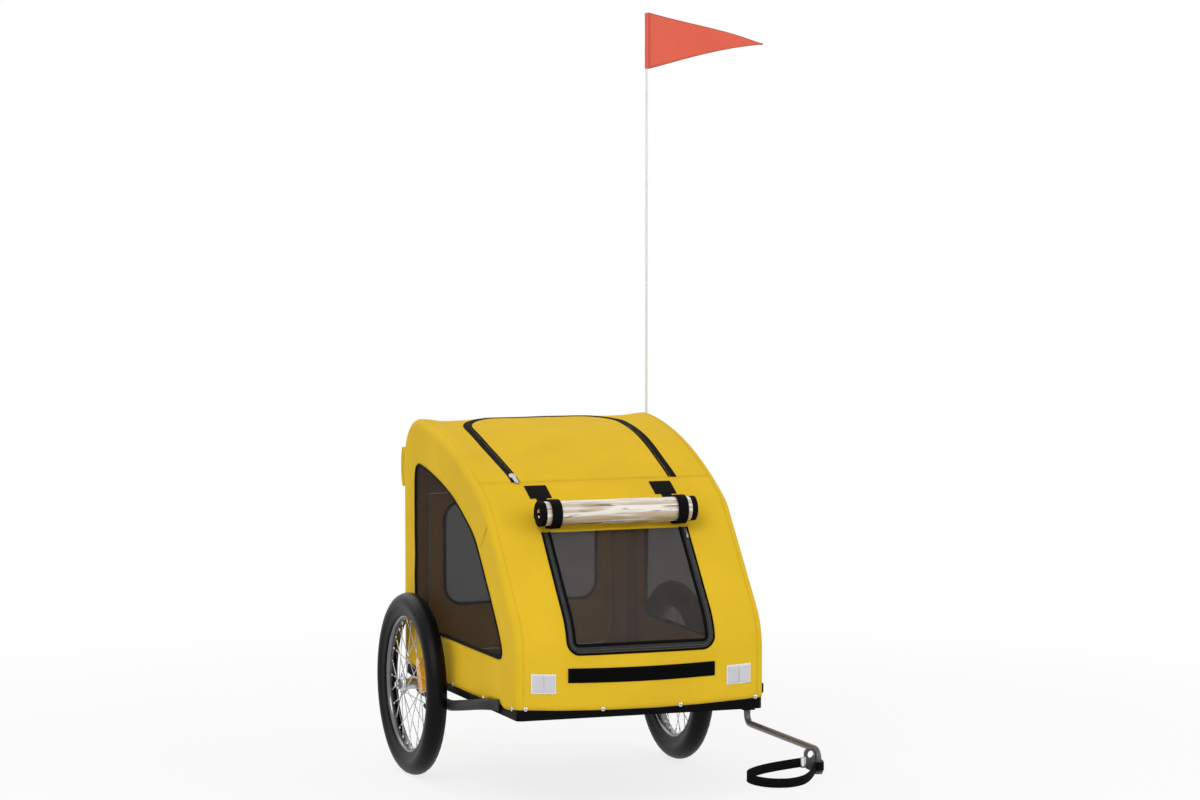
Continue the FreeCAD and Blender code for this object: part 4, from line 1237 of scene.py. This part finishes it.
class TRAILER_OT_zips(TrailerOperator, bpy.types.Operator):
    """Zips of the front window, the roof hatch and the rear door"""
    bl_idname = "trailer.zips"
    bl_label = "Zips"

    def build(self):
        high = sizes().tape_height
        tape_step, teeth_step, off_edge = 0.006, 0.004, 0.0022
        coil = (0.0024, (0.0016, 0.0032, 0.0008))
        lay_tape("front_window_tape", "chassis", "ribbed_tape", front_path(0.0069),
                 tape_section(0.0046, -0.0008, 0.0024), ["front_window_zip"])
        lay_tape("front_zip_tape", "chassis", "grey_tape", front_path(off_edge),
                 tape_section(0.0044, -0.0008, high))
        lay_teeth("front_window_teeth", "zip_teeth", front_path(-0.0001, 0.572, teeth_step), 0.0022,
                  (0.0015, 0.0034, 0.0008))

        out = 0.007
        path = cap(HATCH_HALF + out, SEAM, HATCH_END + out, HATCH_CORNER + out)
        lay_tape("roof_hatch_tape", "chassis", "ribbed_tape", spaced(path, tape_step)[::-1],
                 tape_section(0.014, -0.0002, high), ["roof_zip"])
        path = cap(HATCH_HALF + off_edge, SEAM, HATCH_END + off_edge, HATCH_CORNER)
        lay_teeth("roof_hatch_teeth", "black_coil", spaced(path, teeth_step), *coil)
        inset = 0.0031
        path = cap(HATCH_HALF - inset, SEAM + 0.001, HATCH_END - inset, HATCH_CORNER - inset)
        lay_tape("roof_flap_tape", "roof_hatch", "ribbed_tape", spaced(path, tape_step)[::-1],
                 tape_section(0.0046, -0.0002, high))

        out = 0.006
        path = cap(DOOR_HALF + out, REAR_HINGE, rear_at(DOOR_FOOT - out), DOOR_CORNER + out)
        lay_tape("rear_door_tape", "chassis", "ribbed_tape", spaced(path, tape_step)[::-1],
                 tape_section(0.011, -0.0002, high))
        path = cap(DOOR_HALF + off_edge, REAR_HINGE, rear_at(DOOR_FOOT - off_edge), DOOR_CORNER + 0.002)
        lay_teeth("rear_door_teeth", "black_coil", spaced(path, teeth_step), *coil)
        self.slider("roof_slider", -HATCH_HALF - 0.0040, SEAM + 0.026, -1, 1.5)
        self.slider("rear_door_slider", -0.2175, rear_at(0.57), 1, 1.2)
        self.slider("front_window_slider", 0.1568, front_at(0.565), -1, 0.8)

    @staticmethod
    def slider(name, u, s, way, scale):
        """Slider body with its pull hanging along the zip."""
        form = Form()
        low = sizes().tape_height + 0.0008
        for start, end, half, base, top in ((-0.006, 0.006, 0.0048, low, low + 0.0022),
                                            (-0.004, 0.004, 0.0022, low + 0.0022, low + 0.0040),
                                            (0.003, 0.024, 0.0030, low + 0.0026, low + 0.0038)):
            rows = []
            for share, grow in ((0.0, 0.75), (0.25, 1.0), (0.75, 1.0), (1.0, 0.7)):
                along = (start + (end - start) * share) * scale
                rows.append([form.point(on_strip(u + a * half * grow * scale, s + way * along, b), (a, along))
                             for a, b in ((-1, base), (-0.85, top), (0.85, top), (1, base))])
            form.tube(rows)
        form.piece(name, "chassis", "bright_metal", "steel", smooth=False)


class TRAILER_OT_trim(TrailerOperator, bpy.types.Operator):
    """Hook strip, corner tab, front reflectors, hem snaps, stitching and the rolled rear cover"""
    bl_idname = "trailer.trim"
    bl_label = "Trim"

    def build(self):
        height = front_at(0.298)
        lay_tape("hook_strip_tape", "chassis", "hook_nap", spaced([(-0.163, height), (0.163, height)], 0.008),
                 tape_section(0.0295, -0.0002, 0.002), ["hook_strip"], smooth=False)
        self.corner_tab()
        self.reflectors()
        self.snaps()
        self.stitches()
        self.rear_roll()

    @staticmethod
    def corner_tab():
        """Black tab that stands out at the left front corner, just above the hem."""
        form = Form()
        middle_z = 0.243
        form.tube([[form.point((HALF_WIDTH + 0.0004 + out, y, middle_z + z), (y, z))
                    for out, z in ((0.0, -0.012), (0.0, 0.012), (0.0045, 0.009), (0.0045, -0.009))]
                   for y in (FRONT_Y + 0.0135, FRONT_Y + 0.0195)])
        form.piece("corner_tab", "chassis", "tape", "ribbed_tape", smooth=False)

    def reflectors(self):
        low, high = front_at(0.2605), front_at(0.3015)
        border = Form()
        patches = Form()
        edge = 0.0026
        for side, _ in SIDES:
            self.plate(border, side, 0.190, 0.244, low, high, ((0.0, 0.0), (0.0, 0.0012), (0.0008, 0.0018)))
            for start, end in ((0.1926, 0.2165), (0.2175, 0.2414)):
                self.plate(patches, side, start, end, low + edge, high - edge,
                           ((0.0, 0.0016), (0.0, 0.0023), (0.0014, 0.0030)))
        border.piece("front_reflector_borders", "chassis", "grey_reflector", "white_pole", smooth=False)
        patches.piece("front_reflector_patches", "chassis", "grey_reflector", "silver_patch",
                      ["front_reflectors"], smooth=False)

    @staticmethod
    def plate(form, side, start, end, low, high, steps):
        """Small plate on the front cloth, in steps of inset and height."""
        rows = []
        for inset, up in steps:
            loop = [(start + inset, low + inset), (end - inset, low + inset), (end - inset, high - inset),
                    (start + inset, high - inset)]
            rows.append([form.point(on_strip(side * a, b, up), (a, b)) for a, b in spaced(loop, 0.014, True)])
        form.grid(rows, False, True)
        form.faces.append(tuple(rows[-1]))

    @staticmethod
    def snaps():
        """Domed snaps along the hems, at shares of the cabin's width and length."""
        form = Form()
        above_hem = 0.002
        dome = ((0.0050, 0.0), (0.0050, 0.0009), (0.0042, 0.0017), (0.0028, 0.0023), (0.0012, 0.0025))
        spots = [(on_strip, 2 * HALF_WIDTH * share, s) for share in (-0.465, -0.157, 0.157, 0.465)
                 for s in (above_hem, outline.length - above_hem)]
        spots += [(on_side(side), FRONT_Y + (REAR_Y - FRONT_Y) * share, HEM + above_hem)
                  for share in (0.04, 0.28, 0.55, 0.8, 0.96) for side, _ in SIDES]
        for place, a, b in spots:
            rows = [[form.point(place(a + radius * math.cos(angle), b + radius * math.sin(angle), up))
                     for angle in circle(16)] for radius, up in dome]
            form.grid(rows, False, True)
            form.faces.append(tuple(rows[-1]))
        form.piece("hem_snap_domes", "chassis", "bright_metal", "steel", ["hem_snaps"])

    @staticmethod
    def stitches():
        """Rows of thread round the side windows, along the hems and beside the cross seams."""
        form = Form()
        size = (0.0036, 0.0007, 0.0004)
        pitch = sizes().stitch_pitch
        from_piping, from_hem = 0.0062, 0.009
        around = spaced(SIDE_WINDOW, 0.006, True)
        around = [(a - na * from_piping, b - nb * from_piping)
                  for (a, b), (na, nb) in zip(around, normals(around, True))]
        for side, _ in SIDES:
            beads(form, around, True, pitch, size, 0.0, on_side(side))
            hem = [(FRONT_Y + 0.014, HEM + from_hem), (REAR_Y - 0.014, HEM + from_hem)]
            beads(form, hem, False, pitch, size, 0.0, on_side(side))
        for s in (from_hem, SEAM - 0.004, SEAM - 0.0095, REAR_SEAM + 0.004, outline.length - from_hem):
            row = spaced([(-SEAM_HALF + 0.006, s), (SEAM_HALF - 0.006, s)], 0.01)
            beads(form, row, False, pitch, size, 0.0, on_strip)
        form.piece("cloth_stitching", "chassis", "cloth", "yellow_cloth", smooth=False)

    @staticmethod
    def rear_roll():
        """The rolled rear cover: a flattened spiral of cloth held by two ties."""
        turns, steps, across_steps = 3, 36, 40
        length, wide, tall = 0.544, 0.0137, 0.0445
        narrower, lower, start = 0.0085, 0.0110, 2.2
        tie_x, pinch = 0.150, 0.16
        middle_y, middle_z = REAR_Y + 0.0003 + 0.014, 0.662
        count = turns * steps
        form = Form()
        rows = []
        for k in range(across_steps + 1):
            x = length * (k / across_steps - 0.5)
            squeeze = 1 - pinch * bell(abs(x) - tie_x, 0.018)
            row = []
            for i in range(count + 1):
                angle = 2 * math.pi * i / steps + start
                share = i / count
                loose = 1 + 0.03 * noise.noise((x * 14, math.cos(angle) * 1.5, math.sin(angle) * 1.5))
                out_y = (wide - narrower * share) * squeeze * loose
                out_z = (tall - lower * share) * squeeze * loose
                row.append(form.point((x, middle_y + out_y * math.cos(angle) + wide * (squeeze - 1),
                                       middle_z + out_z * math.sin(angle)), (x, 0.25 * share)))
            rows.append(row)
        form.grid(rows)
        piece = form.piece("rear_cover_rolled", "chassis", "cloth", "yellow_cloth", ["rear_cover_roll"],
                           0.0016)
        form.area() / length
        ties = Form()
        for x in (-tie_x, tie_x):
            band(ties, 32, 0.005, ((-0.009, 0.0004), (-0.009, 0.0018), (0.009, 0.0018), (0.009, 0.0004)),
                 lambda angle, across, out, x=x: (
                     x + across, middle_y - wide * pinch + (wide * (1 - pinch) + out) * math.cos(angle),
                     middle_z + (tall * (1 - pinch) + out) * math.sin(angle)))
        ties.piece("rear_cover_ties", "chassis", "tape", "ribbed_tape")


class TRAILER_OT_rain_cover(TrailerOperator, bpy.types.Operator):
    """Clear rain cover rolled up over the front window, with its bindings and straps"""
    bl_idname = "trailer.rain_cover"
    bl_label = "Rain cover"

    def build(self):
        radius, gap, strap, tail, foot_z = 0.0285, 0.0003, 0.0024, 0.0016, 0.592
        stand = (radius + gap + strap) / math.cos(math.pi / 24) + gap + tail
        foot_y = outline.at(front_at(foot_z))[0]
        slope = math.radians(FRONT_HEADING)
        centre = Vector((0.0, foot_y - stand * math.sin(slope), foot_z + stand * math.cos(slope)))
        length = 0.347
        along = [length * (k / 70 - 0.5) for k in range(71)]
        film, form = self.spiral("rain_cover_film", centre, along, radius, 5, sizes().roll_sheet,
                                 "clear_sheet", "clear_film", ["rain_cover_roll"])
        form.area() / length
        for word, low in (("right", -0.175), ("left", 0.163)):
            along = [low + 0.012 * k / 4 for k in range(5)]
            self.spiral(word + "_roll_binding", centre, along, radius + 0.0006, 4.1, 0.0024, "tape",
                        "ribbed_tape")
        self.straps(centre, radius)

    @staticmethod
    def spiral(name, centre, along, radius, turns, thickness, slot, material, nodes=()):
        """A sheet wound in from its outer edge, with wrinkles along the roll."""
        form = Form()
        steps, start = 72, -0.4
        pitch = sizes().roll_pitch
        rows = []
        for x in along:
            row = []
            for i in range(round(turns * steps) + 1):
                turn = i / steps
                angle = 2 * math.pi * turn + start
                wave = 0.0011 * noise.noise((x * 7, turn * 15, 2.7))
                wave += 0.0005 * noise.noise((x * 16, turn * 34, 8.3))
                out = radius - pitch * turn - abs(wave)
                row.append(form.point(centre + Vector((x, out * math.cos(angle), out * math.sin(angle))),
                                      (x, 0.15 * turn)))
            rows.append(row)
        form.grid([row[::-1] for row in rows])
        return form.piece(name, "chassis", slot, material, nodes, thickness), form

    @staticmethod
    def straps(centre, radius):
        """Two straps round the roll, each with its tail and its patch on the cloth."""
        form = Form()
        profile = ((-0.0115, 0.0004), (-0.0115, 0.0020), (-0.0108, 0.0026),
                   (0.0108, 0.0026), (0.0115, 0.0020), (0.0115, 0.0004))
        for middle in (-0.1415, 0.1415):
            band(form, 40, 0.0045, profile, lambda angle, across, out, middle=middle: centre + Vector(
                (middle + across, (radius + out) * math.cos(angle), (radius + out) * math.sin(angle))))
            for low, high, step, width, thick in ((0.5805, 0.640, 0.006, 0.023, 0.0016),
                                                  (0.638, 0.661, 0.005, 0.049, 0.0018)):
                ribbon(form, spaced([(middle, front_at(low)), (middle, front_at(high))], step), False,
                       tape_section(width, 0.0, thick), on_strip)
        form.piece("roll_strap_bands", "chassis", "tape", "ribbed_tape", ["roll_straps"], smooth=False)


class TRAILER_OT_wheels(TrailerOperator, bpy.types.Operator):
    """Tyres, rims, hubs and laced spokes"""
    bl_idname = "trailer.wheels"
    bl_label = "Wheels"

    def build(self):
        rim_half = [(-0.0135, 0.1560), (-0.0135, 0.1535), (-0.0118, 0.1530), (-0.0118, 0.1490),
                    (-0.0105, 0.1455), (-0.0075, 0.1435)]
        rim_outline = (rim_half + [(0.0, 0.1430)] + [(-a, r) for a, r in reversed(rim_half)]
                       + [(0.0118, 0.1574), (0.0, 0.1576), (-0.0118, 0.1574)])
        for side, word in SIDES:
            middle = side * WHEEL_X
            tyre = Form()
            turned(tyre, self.tyre_outline(), middle, 144, True, self.tread)
            tyre.piece(word + "_tyre_rubber", word + "_wheel", "tyre", "tyre_rubber", [word + "_tyre"])
            rim = Form()
            turned(rim, rim_outline, middle, 96, True)
            rim.piece(word + "_rim_metal", word + "_wheel", "rim", "chrome_rim", [word + "_rim"])
            self.lacing(word, side)

    @staticmethod
    def tyre_outline():
        """Section of the tyre from bead to bead, round on the outside."""
        wide, tall, middle = 0.0228, 0.0213, 0.1785
        angles = [math.radians(degrees) for degrees in range(-125, 126, 10)]
        bead = [(0.0137, 0.1495), (0.0152, 0.1510), (0.0168, 0.1570)]
        crown = [(wide * math.sin(angle), middle + tall * math.cos(angle)) for angle in angles]
        return [(-a, r) for a, r in bead] + crown + bead[::-1]

    @staticmethod
    def tread(segment, place):
        """Grooves round the tread and lugs on its shoulders."""
        grooves, shoulders = (13, 19), (10, 11, 21, 22)
        if place in grooves:
            return -0.0009
        if place in shoulders and segment % 3 == 0:
            return -0.0007
        return 0.0

    @staticmethod
    def lacing(word, side):
        """Hub with two flanges, spokes crossed from hub to rim with heads and nipples, and a valve."""
        form = Form()
        middle = side * WHEEL_X
        count, cross, sides = 14, 2, 6
        step = 2 * math.pi / count
        hub_radius, rim_radius, flange_x = 0.0195, 0.1425, 0.020
        spoke, bend_side, head_side = 0.0010, 0.0031, 0.0026
        head_radius, head_height = 0.0018, 0.0010
        nipple, nipple_radius, nipple_tip = 0.011, 0.0021, 0.0015

        def place(across, radius, angle):
            y, z = radius * math.cos(angle), AXLE_Z + radius * math.sin(angle)
            return Vector((middle + side * across, y, z))

        for flange in (-1, 1):
            for hole in range(count):
                lead = 1 if hole % 2 == 0 else -1
                hub_angle = step * hole + (step / 2 if flange > 0 else 0.0)
                start = place(flange * flange_x + lead * bend_side, hub_radius, hub_angle)
                end = place(0.0, rim_radius, hub_angle + lead * cross * step)
                head = place(flange * flange_x - lead * head_side, hub_radius, hub_angle)
                rod(form, start, end, spoke, sides)
                rod(form, head, start, spoke, sides)
                rod(form, head, head - Vector((side * lead * head_height, 0, 0)), head_radius, sides)
                rod(form, end, end + (start - end).normalized() * nipple, nipple_radius, sides, nipple_tip)
        barrel = [(-0.0247, 0.0065), (-0.0247, 0.0145), (-0.0232, 0.0160), (-0.0215, 0.0160),
                  (-0.0215, 0.0225), (-0.0208, 0.0230), (-0.0192, 0.0230), (-0.0185, 0.0225),
                  (-0.0182, 0.0140), (-0.0150, 0.0122), (0.0, 0.0118)]
        turned(form, barrel + [(-a, r) for a, r in reversed(barrel[:-1])], middle, 40)
        form.piece(word + "_hub_and_lacing", word + "_wheel", "bright_metal", "steel",
                   [word + "_hub_and_spokes"])
        valve = Form()
        angle = math.radians(200)
        for low, high, radius in ((0.1430, 0.128, 0.0042), (0.128, 0.108, 0.0030), (0.112, 0.100, 0.0040)):
            rod(valve, place(0.0, low, angle), place(0.0, high, angle), radius, 12)
        valve.piece(word + "_valve", word + "_wheel", "tyre", "black_plastic")


class TRAILER_OT_flag(TrailerOperator, bpy.types.Operator):
    """Pennant on its pole"""
    bl_idname = "trailer.flag"
    bl_label = "Flag"

    sleeve_radius = 0.0043

    def build(self):
        form = Form()
        high, length, tip_share, tip_half = 0.1245, 0.280, 0.56, 0.0015
        low = POLE_TOP - high
        tip = low + high * (1 - tip_share)
        along_steps, up_steps = 36, 16
        rows = []
        for i in range(along_steps + 1):
            share = i / along_steps
            x = POLE.x + self.sleeve_radius + (length - self.sleeve_radius) * share
            bottom = low + (tip - low) * share
            top = POLE_TOP + (tip - POLE_TOP) * share
            if share == 1.0:
                bottom, top = tip - tip_half, tip + tip_half
            row = []
            for j in range(up_steps + 1):
                rise = j / up_steps
                lift = (0.008 - 0.004 * rise) * math.sin(math.pi * share ** 1.5) * (1 - share * 0.2)
                z = bottom + (top - bottom) * rise + lift
                wave = sizes().flag_wave * math.sin(2 * math.pi * share)
                wave += 0.003 * noise.noise((x * 20, 0.0, z * 22)) * share
                row.append(form.point((x, POLE.y + wave, z), (x, z)))
            rows.append(row)
        form.grid(rows)
        piece = form.piece("pennant_cloth", "flag_mast", "flag", "flag_cloth", ["flag"], 0.0010)
        piece.modifiers["thickness"].offset = 0.0
        form.area()
        hem = Form()
        for column in (0, -1):
            edge = [form.points[row[column]] for row in rows]
            for start, end in zip(edge, edge[1:]):
                rod(hem, start, end, 0.0009, 6)
        # The hem rods wear the darkened pennant cloth, which is painted shade.
        hem.piece("pennant_hem", "flag_mast", "flag", "flag_hem")
        self.sleeve(low, high)

    def sleeve(self, low, high):
        """Sleeve that the pole goes through, with two rows of stitches beside it."""
        form = Form()
        rings = []
        for z in [low + high * k / 12 for k in range(13)]:
            ring = []
            for i, angle in enumerate(circle(24)):
                out = self.sleeve_radius + 0.0003 * noise.noise((math.cos(angle), math.sin(angle), z * 60))
                ring.append(form.point((POLE.x + out * math.cos(angle), POLE.y + out * math.sin(angle), z),
                                       (i * 0.001, z)))
            rings.append(ring)
        form.grid(rings, False, True)
        pitch, stitch, thread = 0.005, 0.0034, 0.0004
        x = POLE.x + 0.0075
        for z in [low + 0.004 + pitch * k for k in range(int((high - 0.006) / pitch))]:
            for y in (POLE.y - 0.0001, POLE.y + 0.0015):
                rod(form, (x, y, z), (x, y, z + stitch), thread, 4)
        form.piece("pennant_sleeve", "flag_mast", "flag", "flag_cloth")


class TRAILER_OT_stage(TrailerOperator, bpy.types.Operator):
    """Floor, light, background and camera"""
    bl_idname = "trailer.stage"
    bl_label = "Stage"

    def build(self):
        bpy.context.scene.view_settings.view_transform = "Standard"
        self.floor()
        self.sky()
        self.lamp("key", (-3.2, -4.2, 4.6), 3.0, 140)
        self.lamp("fill", (4.0, -3.6, 3.0), 4.0, 75)
        self.lamp("back", (-1.5, 4.0, 4.0), 4.0, 70)
        camera = self.aimed("camera", bpy.data.cameras.new("camera"), CAMERA_PLACE, CAMERA_DIRECTION)
        camera.data.sensor_width = CAMERA_SENSOR
        camera.data.lens = CAMERA_LENS
        camera.data.clip_end = 100.0
        bpy.context.scene.camera = camera

    @staticmethod
    def aimed(name, data, place, direction):
        """A lamp or camera at a place, looking in a direction."""
        made = bpy.data.objects.new(name, data)
        bpy.context.scene.collection.objects.link(made)
        made.location = place
        made.rotation_mode = "QUATERNION"
        made.rotation_quaternion = direction.to_track_quat("-Z", "Y")
        return made

    def lamp(self, name, place, size, power):
        lamp = bpy.data.lights.new(name, "AREA")
        lamp.size = size
        lamp.energy = power
        self.aimed(name, lamp, place, LAMP_TARGET - Vector(place))

    def floor(self):
        """Pale floor that keeps the shadow near the trailer and turns white further out."""
        mesh = bpy.data.meshes.new("floor")
        reach, near_glow = 40.0, 0.8
        mesh.from_pydata([(-reach, -reach, 0), (reach, -reach, 0), (reach, reach, 0), (-reach, reach, 0)], [],
                         [(0, 1, 2, 3)])
        made = bpy.data.objects.new("floor", mesh)
        bpy.context.scene.collection.objects.link(made)
        paint = Finish("pale_floor", base_color=(0.9, 0.9, 0.9), roughness=0.9, specular_ior_level=0.1)
        glow = paint.place.node("ShaderNodeEmission", None, {"Color": (1, 1, 1, 1), "Strength": 1.0})
        across, along, _ = paint.place.parts()
        away = (across * across + along * along).ramp(1.0, 7.0)
        paint.mix_in(self.seen(paint.place) * (near_glow + away * (1 - near_glow)), glow)
        mesh.materials.append(paint.material)

    @staticmethod
    def seen(wire):
        """1 for rays from the camera, reflected or let through, and 0 for those that only light things."""
        rays = wire.node("ShaderNodeLightPath").socket.node.outputs
        camera, glossy, through = (Wire(wire.tree, rays[name]) for name in (
            "Is Camera Ray", "Is Glossy Ray", "Is Transmission Ray"))
        return camera.maths("MAXIMUM", glossy).maths("MAXIMUM", through)

    def sky(self):
        """White where it is seen, and weaker where it only lights things."""
        lighting = 0.54
        world = bpy.data.worlds.new("white")
        bpy.context.scene.world = world
        world.use_nodes = True
        wire = Wire(world.node_tree, None)
        back = world.node_tree.nodes["Background"]
        back.inputs["Color"].default_value = (1, 1, 1, 1)
        wire.feed(back.inputs["Strength"], self.seen(wire) * (1 - lighting) + lighting)


OPERATORS = (TRAILER_OT_frame, TRAILER_OT_strap, TRAILER_OT_cabin, TRAILER_OT_windows, TRAILER_OT_zips,
             TRAILER_OT_trim, TRAILER_OT_rain_cover, TRAILER_OT_wheels, TRAILER_OT_flag, TRAILER_OT_stage)


class TRAILER_PT_panel(bpy.types.Panel):
    """Lists the pieces of the trailer and their sizes and colours"""
    bl_idname = "TRAILER_PT_panel"
    bl_label = "Trailer"
    bl_space_type = "VIEW_3D"
    bl_region_type = "UI"
    bl_category = "Trailer"

    def draw(self, context):
        for operator in OPERATORS:
            self.layout.operator(operator.bl_idname)
        for group in (context.scene.trailer_sizes, context.scene.trailer_colours):
            for name in group.bl_rna.properties.keys():
                if name not in ("rna_type", "name"):
                    self.layout.prop(group, name)


CLASSES = (TrailerSizes, TrailerColours, *OPERATORS, TRAILER_PT_panel)


def register():
    for item in CLASSES:
        bpy.utils.register_class(item)
    bpy.types.Scene.trailer_sizes = bpy.props.PointerProperty(type=TrailerSizes)
    bpy.types.Scene.trailer_colours = bpy.props.PointerProperty(type=TrailerColours)


def unregister():
    del bpy.types.Scene.trailer_colours
    del bpy.types.Scene.trailer_sizes
    for item in reversed(CLASSES):
        bpy.utils.unregister_class(item)


def main():
    register()
    for operator in OPERATORS:
        group, name = operator.bl_idname.split(".")
        getattr(getattr(bpy.ops, group), name)()


if __name__ == "__main__":
    main()
